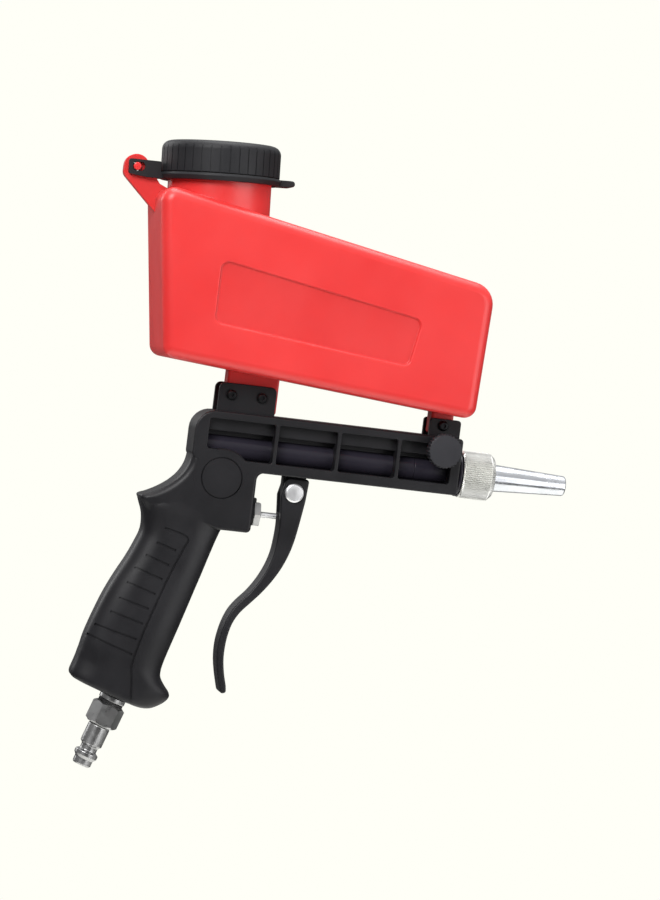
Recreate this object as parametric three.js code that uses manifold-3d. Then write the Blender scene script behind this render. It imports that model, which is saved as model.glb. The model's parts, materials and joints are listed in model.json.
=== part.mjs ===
// Hand-held gravity-feed sandblasting gun: a hopper with a hinged screw lid sits on a pistol-grip gun.
// Millimetres. +X runs along the barrel towards the nozzle, +Z is up, +Y is the left side.
// The origin is the middle of the hand grip.
import * as THREE from 'three';
import { mergeVertices } from 'three/addons/utils/BufferGeometryUtils.js';
import Module from 'manifold-3d';

const wasm = await Module();
wasm.setup();

// ---------------------------------------------------------------- driving dimensions
const GAP = 0.3;                       // free space between two neighbouring pieces
const degrees = (value) => (value * Math.PI) / 180;

const BORE_Z = 93.7;                   // height of the barrel's axis
const HOUSING = { rear: 16.5, front: 173.8, bottom: 81.5, top: 114.5, half: 13.5, edge: 2 };
const GRIP = { half: 14 };
// Level sections of the handle: height, rear x, front x, half width.
const GRIP_SECTIONS = [
  [-66, -36, 24.4, 15], [-50, -35.2, 21.6, 15.4], [-43.4, -34.7, 16.2, 15.7], [-37, -34.2, 15, 16],
  [-20, -31, 19.4, 16.5], [-2, -25, 24.9, 16.5], [16, -17, 30.4, 16], [30, -9, 35.2, 15.5],
  [39, -5.8, 38.2, 15], [46, -5.2, 44, 14.6], [52, -6.2, 48, 14.4], [57.6, -8.4, 48, 14.2],
  [60, -9.6, 48, 14.1], [61.6, -9.2, 48, 14], [66.3, -2.8, 48, 14], [71, 4.6, 48, 13.9],
  [77, 10.8, 48, 13.7], [86, 16.3, 48, 13.4],
];
const WINDOWS = { from: 24.6, to: 167.7, bottom: 87.5, top: 110, web: 2.5 };
const RIBS = { at: [64.1, 100.6, 136.2], width: 2.2 };
const RAIL = { bottom: 103, half: 8 };
const BADGE = { x: 35.2, z: 76.4, radius: 12, thickness: 1.2, swell: 16.5 };

const TUBE = { radius: 7, bore: 4.5, rear: 21.6, front: 148 };
const MIXER = { rear: 148.3, front: 168, bore: 4.6 };
const JET = { rear: 148.6, shoulder: 153, tip: 157, radius: 4.3, nose: 2.6, orifice: 1.2 };
const BUSH = { rear: 168.3, shank: 9.7, face: 174.1, flange: 13, spigotRear: 176, spigot: 10.2, front: 188 };
const NOZZLE = { rear: 168.6, shank: 7, flangeRear: 189.6, flange: 10.1, coneRear: 191.4, coneRadius: 8.2,
  tip: 240.6, tipRadius: 5.75, bore: 3.2 };
const NUT = { rear: 176.4, front: 196, radius: 14, chamfer: 1.2, seat: 191.8, hole: 8.7, thread: 10.5 };

const SAND = { x: 161.3, z: 106.6, spindle: 4, boss: 7.6, passage: 3.4 };
const KNOB = { radius: 10, inner: -17, face: -24, hub: 7, scallops: 30, depth: 0.5 };

const BRACKET = { half: 9.3, gap: 6.5, foot: 112 };
const REAR_BRACKET = { from: 28.4, to: 61.9, top: 131, corner: 4 };
const FRONT_BRACKET = { from: 153.4, to: 172.1, top: 124.8, corner: 3 };
const REAR_SCREWS = [{ name: 'rear_1', x: 35.8, z: 124.2 }, { name: 'rear_2', x: 53.6, z: 124.2 }];
const FRONT_SCREW = { x: 161.5, z: 120.7, end: 4.8 };
const SCREW = { shank: 1.9, head: 3, headHeight: 1.8, socket: 1.4, nutAcross: 3.4, nutHeight: 2.4 };

const HOPPER = { half: 35, wall: 2.5, edge: 4 };
const PANEL = { depth: 1 };
const NECK = { x: 15.6, z: 243.5, tilt: 3.4, radius: 29.7, bore: 26.7, top: 13.9, foot: -26 };
const SPOUT = { x: 161.3, rear: 154.6, front: 168, bore: 3.4, bottom: 115.9, top: 134 };
const LEG = { from: 32.8, to: 63.2, half: 6.2, bottom: 115, top: 142 };
const LUG = { x: -33.2, z: 246.6, radius: 7.5, half: 3.3, pin: 2.2 };

const LID = { inner: 32, outer: 34.6, height: 4, armInner: 3.6, armOuter: 6.6, tab: 42.4, tabHalf: 9 };
const CAP = { radius: 34.1, groove: 0.8, ribs: 36, inner: 30.5, lip: 31.7, skirt: 4.3, under: 16.5, top: 22.6,
  dish: 27, dishDepth: 2.6, edge: 2 };

const TRIGGER = { pivotX: 79.1, pivotZ: 72.2, half: 8, slot: 4.3, slotTop: 12.5, lug: 4, pin: 3 };

const VALVE = { z: 57.3, bore: 6.5, rear: 22, front: 55.6, collar: 57.6, seatRear: 33.4, seatFront: 41, stem: 1.7,
  tip: 72.2, poppet: 4.2, nutFront: 61.5, nutAcross: 7.4, outletX: 46, outlet: 3 };
const SPRING = { coil: 3.4, wire: 0.4, turns: 3.5, rear: 22.8, front: 29.4 };

const INLET = { x: -9.7, z: -55.6, tilt: 18.9, shank: 5.6, tube: 4.7, tubeBore: 3.2, bore: 3, tubeTop: 106 };

// ---------------------------------------------------------------- finishes
const finish = (color, roughness, metalness) =>
  new THREE.MeshStandardMaterial({ color, roughness, metalness });
const RED_PLASTIC = finish(0xe8372f, 0.38, 0);
const BLACK_PLASTIC = finish(0x1d1c1f, 0.5, 0);
const BLACK_GLOSS = finish(0x17161b, 0.25, 0);
const BLACK_RUBBER = finish(0x141414, 0.8, 0);
const BRIGHT_STEEL = finish(0xb9bcc2, 0.25, 1);
const BLACK_STEEL = finish(0x29292b, 0.4, 1);
const ALUMINIUM = finish(0xd9dadb, 0.35, 1);
const BRASS = finish(0xb8924a, 0.35, 1);

// ---------------------------------------------------------------- solids
function signedVolume(position, index) {
  let volume = 0;
  const a = new THREE.Vector3();
  const b = new THREE.Vector3();
  const c = new THREE.Vector3();
  for (let i = 0; i < index.length; i += 3) {
    a.fromBufferAttribute(position, index[i]);
    b.fromBufferAttribute(position, index[i + 1]);
    c.fromBufferAttribute(position, index[i + 2]);
    volume += a.dot(b.cross(c)) / 6;
  }
  return volume;
}

// A closed geometry becomes a solid with its faces pointing out.
function solid(geometry) {
  geometry.deleteAttribute('normal');
  geometry.deleteAttribute('uv');
  const merged = mergeVertices(geometry, 1e-3);
  const outward = signedVolume(merged.attributes.position, merged.index.array) > 0;
  const triangles = [];
  for (let i = 0; i < merged.index.count; i += 3) {
    const a = merged.index.getX(i);
    const b = merged.index.getX(i + 1);
    const c = merged.index.getX(i + 2);
    if (a !== b && b !== c && c !== a) {
      triangles.push(a, outward ? b : c, outward ? c : b);
    }
  }
  return new wasm.Manifold(new wasm.Mesh({
    numProp: 3,
    vertProperties: new Float32Array(merged.attributes.position.array),
    triVerts: new Uint32Array(triangles),
  }));
}

function piece(name, body, material) {
  const data = body.getMesh();
  const geometry = new THREE.BufferGeometry();
  geometry.setAttribute('position', new THREE.BufferAttribute(new Float32Array(data.vertProperties), 3));
  geometry.setIndex(new THREE.BufferAttribute(new Uint32Array(data.triVerts), 1));
  const flat = geometry.toNonIndexed();
  flat.computeVertexNormals();
  const mesh = new THREE.Mesh(flat, material);
  mesh.name = name;
  return mesh;
}

const union = (first, ...others) => others.reduce((sum, next) => sum.add(next), first);
const cut = (first, ...others) => others.reduce((rest, next) => rest.subtract(next), first);

// Closed outline through corners [x, y, radius], each corner rounded by its radius.
function roundedShape(corners) {
  const shape = new THREE.Shape();
  const count = corners.length;
  corners.forEach(([x, y, radius = 0], i) => {
    const corner = new THREE.Vector2(x, y);
    const before = new THREE.Vector2(...corners[(i + count - 1) % count]).sub(corner);
    const after = new THREE.Vector2(...corners[(i + 1) % count]).sub(corner);
    const half = before.angleTo(after) / 2;
    const reach = radius / Math.tan(half);
    const start = before.setLength(reach).add(corner);
    const end = after.setLength(reach).add(corner);
    if (i === 0) {
      shape.moveTo(start.x, start.y);
    } else {
      shape.lineTo(start.x, start.y);
    }
    if (radius > 0) {
      shape.quadraticCurveTo(corner.x, corner.y, end.x, end.y);
    }
  });
  shape.closePath();
  return shape;
}

// An outline in X and Z, made a plate from y = -half to y = +half with rounded edges.
function sidePlate(shape, half, edge = 0, curveSegments = 4, bevelSegments = 2) {
  const geometry = new THREE.ExtrudeGeometry(shape, {
    depth: 2 * (half - edge),
    bevelEnabled: edge > 0,
    bevelThickness: edge,
    bevelSize: edge,
    bevelOffset: -edge,
    bevelSegments,
    curveSegments,
  });
  geometry.translate(0, 0, -(half - edge));
  geometry.rotateX(Math.PI / 2);
  return solid(geometry);
}

function box(x0, x1, y0, y1, z0, z1) {
  const geometry = new THREE.BoxGeometry(x1 - x0, y1 - y0, z1 - z0);
  geometry.translate((x0 + x1) / 2, (y0 + y1) / 2, (z0 + z1) / 2);
  return solid(geometry);
}

// A turned piece: the profile holds [radius, place along the axis] and closes on itself.
function turned(profile, axis, segments = 16) {
  const points = profile.map(([radius, along]) => new THREE.Vector2(radius, along));
  points.push(points[0].clone());
  const geometry = new THREE.LatheGeometry(points, segments);
  if (axis === 'x') {
    geometry.rotateZ(-Math.PI / 2);
  }
  if (axis === 'z') {
    geometry.rotateX(Math.PI / 2);
  }
  return geometry;
}

const rodProfile = (radius, from, to) => [[0, from], [radius, from], [radius, to], [0, to]];
const tubeProfile = (outer, inner, from, to) => [[inner, from], [outer, from], [outer, to], [inner, to]];

function alongX(profile, z, segments = 16) {
  return solid(turned(profile, 'x', segments).translate(0, 0, z));
}

function alongY(profile, x, z, segments = 16) {
  return solid(turned(profile, 'y', segments).translate(x, 0, z));
}

function alongZ(profile, x, segments = 16) {
  return solid(turned(profile, 'z', segments).translate(x, 0, 0));
}

function hexShape(across) {
  const shape = new THREE.Shape();
  for (let i = 0; i < 6; i += 1) {
    const angle = (i * Math.PI) / 3;
    const x = across * Math.cos(angle);
    const y = across * Math.sin(angle);
    if (i === 0) {
      shape.moveTo(x, y);
    } else {
      shape.lineTo(x, y);
    }
  }
  shape.closePath();
  return shape;
}

// ---------------------------------------------------------------- gun body
// A solid through level sections [height, rear x, front x, half width], each one a rounded oblong.
function loft(sections, sides = 20, squareness = 2.7) {
  const positions = [];
  for (const [z, rear, front, half] of sections) {
    for (let i = 0; i < sides; i += 1) {
      const angle = (i / sides) * 2 * Math.PI;
      const along = Math.sign(Math.cos(angle)) * Math.abs(Math.cos(angle)) ** (2 / squareness);
      const across = Math.sign(Math.sin(angle)) * Math.abs(Math.sin(angle)) ** (2 / squareness);
      positions.push((rear + front) / 2 + ((front - rear) / 2) * along, half * across, z);
    }
  }
  const index = [];
  for (let level = 0; level + 1 < sections.length; level += 1) {
    for (let i = 0; i < sides; i += 1) {
      const a = level * sides + i;
      const b = level * sides + ((i + 1) % sides);
      index.push(a, b, b + sides, a, b + sides, a + sides);
    }
  }
  const last = (sections.length - 1) * sides;
  for (let i = 1; i + 1 < sides; i += 1) {
    index.push(0, i + 1, i, last, last + i, last + i + 1);
  }
  const geometry = new THREE.BufferGeometry();
  geometry.setAttribute('position', new THREE.Float32BufferAttribute(positions, 3));
  geometry.setIndex(index);
  return solid(geometry);
}

function gripSolid() {
  const handle = loft(GRIP_SECTIONS);
  const foot = roundedShape([
    [-60, 100], [-34.9, -20], [-34.9, -46.6, 6], [5.4, -61.2, 7], [24.4, -51.4, 5], [60, 20], [70, 100],
  ]);
  const housing = sidePlate(roundedShape([
    [20, 84], [20, 58, 10], [34, 46.5, 6], [VALVE.front, 46.7, 2.2], [VALVE.front, 84],
  ]), GRIP.half, 1.5);
  const corner = sidePlate(roundedShape([
    [50, 90], [50, 70], [VALVE.front, 70], [VALVE.front, HOUSING.bottom, 4.5],
    [VALVE.front + 8, HOUSING.bottom], [VALVE.front + 8, 90],
  ]), HOUSING.half - HOUSING.edge);
  const collar = alongX(rodProfile(VALVE.bore + 1, VALVE.front - 1, VALVE.collar), VALVE.z);
  return union(handle.intersect(sidePlate(foot, 40)), housing, corner, collar);
}

function bracket(size) {
  const outline = roundedShape([
    [size.from, BRACKET.foot], [size.to, BRACKET.foot],
    [size.to, size.top, size.corner], [size.from, size.top, size.corner],
  ]);
  const slot = box(size.from - 1, size.to + 1, -BRACKET.gap, BRACKET.gap, HOUSING.top, size.top + 1);
  return cut(sidePlate(outline, BRACKET.half), slot);
}

function gunBody() {
  const housing = sidePlate(roundedShape([
    [HOUSING.rear, HOUSING.bottom], [HOUSING.front, HOUSING.bottom],
    [HOUSING.front, HOUSING.top], [HOUSING.rear, HOUSING.top, 12],
  ]), HOUSING.half, HOUSING.edge);
  const grip = gripSolid();
  const lug = sidePlate(roundedShape([
    [73, 84], [86, 84], [86, TRIGGER.pivotZ - 6.5, 5], [73, TRIGGER.pivotZ - 6.5, 5],
  ]), TRIGGER.lug);
  let body = union(housing, grip, lug, bracket(REAR_BRACKET), bracket(FRONT_BRACKET));

  const pillars = [WINDOWS.from - RIBS.width / 2, ...RIBS.at, WINDOWS.to + RIBS.width / 2];
  for (let i = 0; i + 1 < pillars.length; i += 1) {
    const from = pillars[i] + RIBS.width / 2;
    const to = pillars[i + 1] - RIBS.width / 2;
    for (const side of [-1, 1]) {
      const near = side * WINDOWS.web;
      const far = side * (GRIP.half + 5);
      const window = box(from, to, Math.min(near, far), Math.max(near, far), WINDOWS.bottom, WINDOWS.top);
      const rail = box(from - 1, to + 1, -RAIL.half, RAIL.half, RAIL.bottom, WINDOWS.top + 1);
      body = cut(body, cut(window, rail));
    }
  }

  const sandBoss = alongY(rodProfile(SAND.boss, -HOUSING.half, HOUSING.half), SAND.x, SAND.z);
  const swell = alongY(rodProfile(BADGE.swell, -GRIP.half, GRIP.half), BADGE.x, BADGE.z, 32);
  body = union(body, sandBoss, swell);
  const wayUp = BORE_Z - VALVE.z - 1;
  const bores = [
    alongX(rodProfile(TUBE.radius + GAP, TUBE.rear - GAP, HOUSING.front + 1), BORE_Z),
    alongX(rodProfile(BUSH.shank + GAP, BUSH.rear - GAP, HOUSING.front + 1), BORE_Z),
    alongX(rodProfile(VALVE.bore, VALVE.rear, VALVE.collar + 1), VALVE.z),
    alongZ(rodProfile(VALVE.outlet, VALVE.z, VALVE.z + wayUp), VALVE.outletX, 16),
    alongY(rodProfile(SAND.spindle + GAP, -20, 20), SAND.x, SAND.z),
    alongZ(rodProfile(SAND.passage, BORE_Z, HOUSING.top + 1), SAND.x, 16),
    alongY(rodProfile(TRIGGER.pin + GAP, -6, 6), TRIGGER.pivotX, TRIGGER.pivotZ),
    onInlet(rodProfile(INLET.tube + GAP, -20, INLET.tubeTop + 14), 16),
    onInlet(rodProfile(INLET.shank + GAP, -20, 18.3), 20),
  ];
  for (const side of [-1, 1]) {
    const seat = rodProfile(BADGE.radius, GRIP.half - BADGE.thickness, GRIP.half + 1);
    const mirrored = seat.map(([radius, along]) => [radius, side * along]);
    bores.push(alongY(mirrored, BADGE.x, BADGE.z, 24));
  }
  for (const screw of [...REAR_SCREWS, FRONT_SCREW]) {
    bores.push(alongY(rodProfile(SCREW.shank + GAP, -12, 12), screw.x, screw.z, 12));
  }
  return cut(body, ...bores);
}

// Places a turned profile on the inclined axis of the air inlet, measured up from the grip's bottom face.
function onInlet(profile, segments = 16) {
  const geometry = turned(profile, 'z', segments);
  geometry.rotateY(degrees(INLET.tilt));
  geometry.translate(INLET.x, 0, INLET.z);
  return solid(geometry);
}

function badge(side) {
  const face = GRIP.half;
  const profile = [
    [0, face - BADGE.thickness + GAP], [BADGE.radius - GAP, face - BADGE.thickness + GAP],
    [BADGE.radius - GAP, face - 0.4], [BADGE.radius - 0.8, face], [0, face],
  ];
  return alongY(profile.map(([radius, along]) => [radius, side * along]), BADGE.x, BADGE.z, 24);
}

// ---------------------------------------------------------------- barrel
function airTube() {
  const tube = alongX(tubeProfile(TUBE.radius, TUBE.bore, TUBE.rear, TUBE.front), BORE_Z, 20);
  const hole = alongZ(rodProfile(VALVE.outlet, BORE_Z - 10, BORE_Z), VALVE.outletX, 16);
  return cut(tube, hole);
}

function mixingTube() {
  const tube = alongX(tubeProfile(TUBE.radius, MIXER.bore, MIXER.rear, MIXER.front), BORE_Z, 20);
  return cut(tube, alongZ(rodProfile(SAND.passage, BORE_Z, BORE_Z + 10), SAND.x, 12));
}

function airJet() {
  return alongX([
    [JET.orifice, JET.rear], [JET.radius, JET.rear], [JET.radius, JET.shoulder],
    [JET.nose, JET.shoulder + 1], [JET.nose - 0.7, JET.tip], [JET.orifice, JET.tip],
  ], BORE_Z, 20);
}

function frontBush() {
  return alongX([
    [NOZZLE.shank + GAP, BUSH.rear], [BUSH.shank, BUSH.rear], [BUSH.shank, BUSH.face],
    [BUSH.flange, BUSH.face], [BUSH.flange, BUSH.spigotRear], [BUSH.spigot, BUSH.spigotRear],
    [BUSH.spigot, BUSH.front - 0.8], [BUSH.spigot - 0.8, BUSH.front], [NOZZLE.shank + GAP, BUSH.front],
  ], BORE_Z, 20);
}

function nozzle() {
  const lip = 0.9;
  return alongX([
    [NOZZLE.bore + 2.6, NOZZLE.rear], [NOZZLE.shank, NOZZLE.rear], [NOZZLE.shank, NOZZLE.flangeRear],
    [NOZZLE.flange, NOZZLE.flangeRear], [NOZZLE.flange, NOZZLE.coneRear],
    [NOZZLE.coneRadius, NOZZLE.coneRear], [NOZZLE.tipRadius, NOZZLE.tip - lip],
    [NOZZLE.tipRadius - lip, NOZZLE.tip], [NOZZLE.bore, NOZZLE.tip], [NOZZLE.bore, NOZZLE.rear + 22],
  ], BORE_Z, 24);
}

function nozzleNut() {
  const { rear, front, radius, chamfer, seat, hole, thread } = NUT;
  return alongX([
    [thread, rear], [radius - chamfer, rear], [radius, rear + chamfer], [radius, front - 2 * chamfer],
    [radius - 2 * chamfer, front], [hole, front], [hole, seat], [thread, seat],
  ], BORE_Z, 28);
}

// ---------------------------------------------------------------- sand valve
function sandSpindle() {
  const groove = 0.8;
  const full = SAND.spindle;
  const body = alongY([
    [0, -23], [3, -23], [3, KNOB.inner + 2], [full, KNOB.inner + 2],
    [full, -11], [full - groove, -11], [full - groove, -9], [full, -9],
    [full, 9], [full - groove, 9], [full - groove, 11], [full, 11],
    [full, 14], [full - groove, 14], [full - groove, 15.2], [full, 15.2], [full, 16], [0, 16],
  ], SAND.x, SAND.z, 14);
  return cut(body, alongZ(rodProfile(SAND.passage - 0.5, SAND.z - 8, SAND.z + 8), SAND.x, 10));
}

function sealRing(inner, outer, from, to) {
  const chamfer = (to - from) / 4;
  return [[inner, from], [outer, from + chamfer], [outer, to - chamfer], [inner, to]];
}

function sandKnob() {
  const shape = new THREE.Shape();
  const steps = KNOB.scallops * 2;
  for (let i = 0; i < steps; i += 1) {
    const angle = (i / steps) * 2 * Math.PI;
    const radius = KNOB.radius - KNOB.depth * (0.5 - 0.5 * Math.cos(angle * KNOB.scallops));
    const x = SAND.x + radius * Math.cos(angle);
    const z = SAND.z + radius * Math.sin(angle);
    if (i === 0) {
      shape.moveTo(x, z);
    } else {
      shape.lineTo(x, z);
    }
  }
  shape.closePath();
  const half = (KNOB.inner - KNOB.face) / 2;
  const edge = 0.8;
  const geometry = new THREE.ExtrudeGeometry(shape, {
    depth: 2 * (half - edge), bevelThickness: edge, bevelSize: edge, bevelOffset: -edge, bevelSegments: 1,
  });
  geometry.translate(0, 0, -(half - edge));
  geometry.rotateX(Math.PI / 2);
  geometry.translate(0, (KNOB.inner + KNOB.face) / 2, 0);
  const hub = alongY(rodProfile(KNOB.hub, KNOB.inner - 1, -HOUSING.half - GAP), SAND.x, SAND.z);
  const hole = alongY([
    [0, -23.3], [3.3, -23.3], [3.3, KNOB.inner + 1.7], [SAND.spindle + GAP, KNOB.inner + 1.7],
    [SAND.spindle + GAP, -10], [0, -10],
  ], SAND.x, SAND.z);
  return cut(union(solid(geometry), hub), hole);
}

// ---------------------------------------------------------------- hopper
const bottomOf = (x) => 141.6 - (x + 12.6) * Math.tan(degrees(4.6));
const topOf = (x) => 203.8 + (164.5 - x) * Math.tan(degrees(10.1));
const rearOf = (z) => -20.2 + (223 - z) * 0.137;

function hopperOutline(inset) {
  const low = 141.6;
  const high = 235.7;
  return roundedShape([
    [rearOf(low) + inset, bottomOf(-12) + inset, 9 - inset],
    [174.4 - inset, bottomOf(174.4) + inset, 10 - inset],
    [177.4 - inset, topOf(177.4) - inset, 14 - inset],
    [rearOf(high) + inset, topOf(-20) - inset, 12 - inset],
  ]);
}

function onNeck(profile, segments = 36) {
  const geometry = turned(profile, 'z', segments);
  geometry.rotateY(degrees(-NECK.tilt));
  geometry.translate(NECK.x, 0, NECK.z);
  return solid(geometry);
}

function hopper() {
  const { half, wall, edge } = HOPPER;
  const shell = sidePlate(hopperOutline(0), half, edge, 5);
  const neck = onNeck(rodProfile(NECK.radius, NECK.foot, NECK.top));
  const spout = sidePlate(roundedShape([
    [SPOUT.rear, SPOUT.bottom], [SPOUT.front, SPOUT.bottom],
    [SPOUT.front, SPOUT.top], [SPOUT.rear, SPOUT.top],
  ]), LEG.half);
  const leg = sidePlate(roundedShape([
    [LEG.from, LEG.bottom, 2], [LEG.to, LEG.bottom, 2], [LEG.to, LEG.top], [LEG.from, LEG.top],
  ]), LEG.half);
  const lug = sidePlate(roundedShape([
    [LUG.x - LUG.radius, LUG.z + LUG.radius, LUG.radius - 0.5],
    [LUG.x - LUG.radius, LUG.z - LUG.radius + 2, 5],
    [-19, 222, 1], [-8, 222, 0.5], [-8, 234, 0.5], [-19.5, 238, 2],
    [LUG.x + LUG.radius, LUG.z + 2, 3], [LUG.x + LUG.radius, LUG.z + LUG.radius, 5],
  ]), LUG.half, 0, 3);
  const hollow = sidePlate(hopperOutline(wall), half - wall, edge - 1.5, 4);
  const mouth = onNeck(rodProfile(NECK.bore, NECK.foot + 1, NECK.top + 5));
  const drain = alongZ(rodProfile(SPOUT.bore, SPOUT.bottom - 1, SPOUT.top + 5), SPOUT.x, 16);
  const blown = union(shell, neck, spout, leg, lug);
  const holes = REAR_SCREWS.map((screw) =>
    alongY(rodProfile(SCREW.shank + GAP, -8, 8), screw.x, screw.z, 12));
  for (const side of [-1, 1]) {
    const blind = rodProfile(SCREW.shank + GAP, side * (FRONT_SCREW.end - GAP), side * 8);
    holes.push(alongY(blind, FRONT_SCREW.x, FRONT_SCREW.z, 12));
  }
  const pinHole = alongY(rodProfile(LUG.pin + GAP, -8, 8), LUG.x, LUG.z, 16);
  const panel = roundedShape([
    [17.3, 163.8, 4], [131, 152.4, 4], [136, 179.6, 4], [17.2, 199.4, 4],
  ]);
  const recesses = [-1, 1].map((side) =>
    sidePlate(panel, PANEL.depth, 0, 3).translate(0, side * half, 0));
  return cut(blown, union(hollow, mouth, drain), pinHole, ...holes, ...recesses);
}

// A socket screw along Y: its head lies outside the bracket, its shank runs inwards to |y| = end.
const outside = BRACKET.half + GAP;

function screw(x, z, side, end) {
  const along = (profile) => profile.map(([radius, place]) => [radius, side * place]);
  const shaft = alongY(along(rodProfile(SCREW.shank, end, outside + 1)), x, z, 12);
  const head = alongY(along([[0, outside], [SCREW.head, outside], [SCREW.head, outside + 0.9],
    [SCREW.head - 0.6, outside + SCREW.headHeight], [0, outside + SCREW.headHeight]]), x, z, 16);
  const hexagon = new THREE.ExtrudeGeometry(hexShape(SCREW.socket), { depth: 2, bevelEnabled: false });
  hexagon.translate(0, 0, -1);
  hexagon.rotateX(Math.PI / 2);
  hexagon.translate(x, side * (outside + SCREW.headHeight), z);
  return cut(union(shaft, head), solid(hexagon));
}

// ---------------------------------------------------------------- lid
function lidRing() {
  const shape = new THREE.Shape();
  shape.absarc(0, 0, LID.outer, 0, 2 * Math.PI);
  const ring = new THREE.ExtrudeGeometry(shape, {
    depth: LID.height, bevelEnabled: false, curveSegments: 18,
  });
  const tab = roundedShape([
    [30, -LID.tabHalf - 3], [LID.tab, -LID.tabHalf, 5], [LID.tab, LID.tabHalf, 5], [30, LID.tabHalf + 3],
  ]);
  const tabPlate = new THREE.ExtrudeGeometry(tab, { depth: 2.6, bevelEnabled: false, curveSegments: 4 });
  const lean = new THREE.Vector2(LUG.x - NECK.x, LUG.z - NECK.z);
  const { x: pinX, y: pinZ } = lean.rotateAround(new THREE.Vector2(), degrees(-NECK.tilt));
  let body = union(solid(ring), solid(tabPlate));
  for (const side of [-1, 1]) {
    const width = (LID.armOuter - LID.armInner) / 2;
    const arm = sidePlate(roundedShape([
      [pinX - 4.6, pinZ - 4.2, 2.5], [pinX + 12, 0.2], [-30, 0.2], [-30, LID.height],
      [pinX + 12, LID.height], [pinX + 6, pinZ + 4.2, 2], [pinX - 4.6, pinZ + 4.2, 2.5],
    ]), width);
    body = union(body, arm.translate(0, side * (LID.armInner + width), 0));
  }
  const mouth = solid(turned(rodProfile(LID.inner, -5, 10), 'z', 36));
  const slot = sidePlate(roundedShape([
    [pinX - 2.6, pinZ - 2.6, 2.3], [pinX + 4.4, pinZ - 2.6, 2.3],
    [pinX + 4.4, pinZ + 2.6, 2.3], [pinX - 2.6, pinZ + 2.6, 2.3],
  ]), 10);
  return cut(body, mouth, slot);
}

function fillerCap() {
  const shape = new THREE.Shape();
  const steps = CAP.ribs * 2;
  for (let i = 0; i < steps; i += 1) {
    const angle = (i / steps) * 2 * Math.PI;
    const radius = CAP.radius - (i % 2) * CAP.groove;
    if (i === 0) {
      shape.moveTo(radius, 0);
    } else {
      shape.lineTo(radius * Math.cos(angle), radius * Math.sin(angle));
    }
  }
  shape.closePath();
  const depth = CAP.top - CAP.skirt;
  const geometry = new THREE.ExtrudeGeometry(shape, {
    depth: depth - CAP.edge - 0.5, bevelThickness: CAP.edge, bevelSize: CAP.edge, bevelOffset: -CAP.edge,
    bevelSegments: 1,
  });
  geometry.translate(0, 0, CAP.skirt + 0.5);
  const ribbed = cut(solid(geometry), box(-50, 50, -50, 50, CAP.skirt - 5, CAP.skirt));
  const lip = solid(turned(rodProfile(CAP.lip, 0.5, CAP.skirt + 1), 'z', 36));
  const hollow = solid(turned(rodProfile(CAP.inner, -1, CAP.under), 'z', 36));
  const dish = solid(turned(rodProfile(CAP.dish, CAP.top - CAP.dishDepth, CAP.top + 2), 'z', 36));
  return cut(union(ribbed, lip), hollow, dish);
}

function lidPin() {
  const inner = LID.armOuter + GAP;
  const head = 3.4;
  const end = 8.4;
  return alongY([
    [0, -end], [head, -end], [head, -inner], [LUG.pin, -inner],
    [LUG.pin, inner], [head, inner], [head, end], [0, end],
  ], LUG.x, LUG.z, 20);
}

// ---------------------------------------------------------------- trigger
function triggerOutline() {
  const shape = new THREE.Shape();
  const toPoints = (list) => list.map(([x, z]) => new THREE.Vector2(x, z));
  shape.moveTo(74.6, 80.6);
  shape.lineTo(72.9, 78.4);
  shape.splineThru(toPoints([[72, 68], [73, 53], [71.6, 36], [65.4, 20], [54.7, 6.2], [48, -6.7],
    [45.6, -21.6], [47.2, -37], [50, -46]]));
  shape.quadraticCurveTo(51.4, -49.6, 52.6, -45.4);
  shape.splineThru(toPoints([[50.4, -26], [53, -5.5], [61, 5.8], [72.4, 19.6], [80.6, 36], [84, 53],
    [87.4, 78.4]]));
  shape.lineTo(86.4, 80.6);
  shape.closePath();
  return shape;
}

function trigger() {
  const blade = sidePlate(triggerOutline(), TRIGGER.half, 0, 3);
  const slot = box(68, 92, -TRIGGER.slot, TRIGGER.slot, TRIGGER.pivotZ - TRIGGER.slotTop, 90);
  const hole = alongY(rodProfile(TRIGGER.pin + GAP, -12, 12), TRIGGER.pivotX, TRIGGER.pivotZ);
  return cut(blade, slot, hole);
}

function triggerPin() {
  const head = TRIGGER.half + GAP;
  return alongY([
    [0, -head - 1.6], [4.4, -head - 1.6], [5.5, -head - 1], [5.5, -head],
    [TRIGGER.pin, -head], [TRIGGER.pin, head + 0.2], [TRIGGER.pin - 0.7, head + 0.2],
    [TRIGGER.pin - 0.7, head + 1.6], [TRIGGER.pin, head + 1.6], [TRIGGER.pin, head + 2.4], [0, head + 2.4],
  ], TRIGGER.pivotX, TRIGGER.pivotZ, 18);
}

function retainingClip(inner, outer, from, to, x, z) {
  const ring = alongY(tubeProfile(outer, inner, from, to), x, z, 20);
  return cut(ring, box(x - 1.2, x + 1.2, from - 1, to + 1, z - outer - 1, z));
}

// ---------------------------------------------------------------- air valve
function valveStem() {
  const poppetFront = VALVE.seatRear - GAP;
  return alongX([
    [0, 30], [VALVE.poppet, 30], [VALVE.poppet, poppetFront - 0.5], [VALVE.poppet - 0.8, poppetFront],
    [VALVE.stem, poppetFront], [VALVE.stem, VALVE.tip - 0.8], [VALVE.stem - 0.8, VALVE.tip], [0, VALVE.tip],
  ], VALVE.z, 20);
}

function valveNut() {
  const geometry = new THREE.ExtrudeGeometry(hexShape(VALVE.nutAcross), { depth: 3.6, bevelEnabled: false });
  geometry.rotateY(Math.PI / 2);
  geometry.translate(VALVE.nutFront - 3.6, 0, VALVE.z);
  const shank = alongX(rodProfile(VALVE.bore - GAP, 50, VALVE.nutFront - 3), VALVE.z);
  const hole = alongX([
    [0, 45], [3.2, 45], [3.2, 53], [VALVE.stem + GAP, 53], [VALVE.stem + GAP, 65], [0, 65],
  ], VALVE.z, 20);
  return cut(union(solid(geometry), shank), hole);
}

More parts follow.
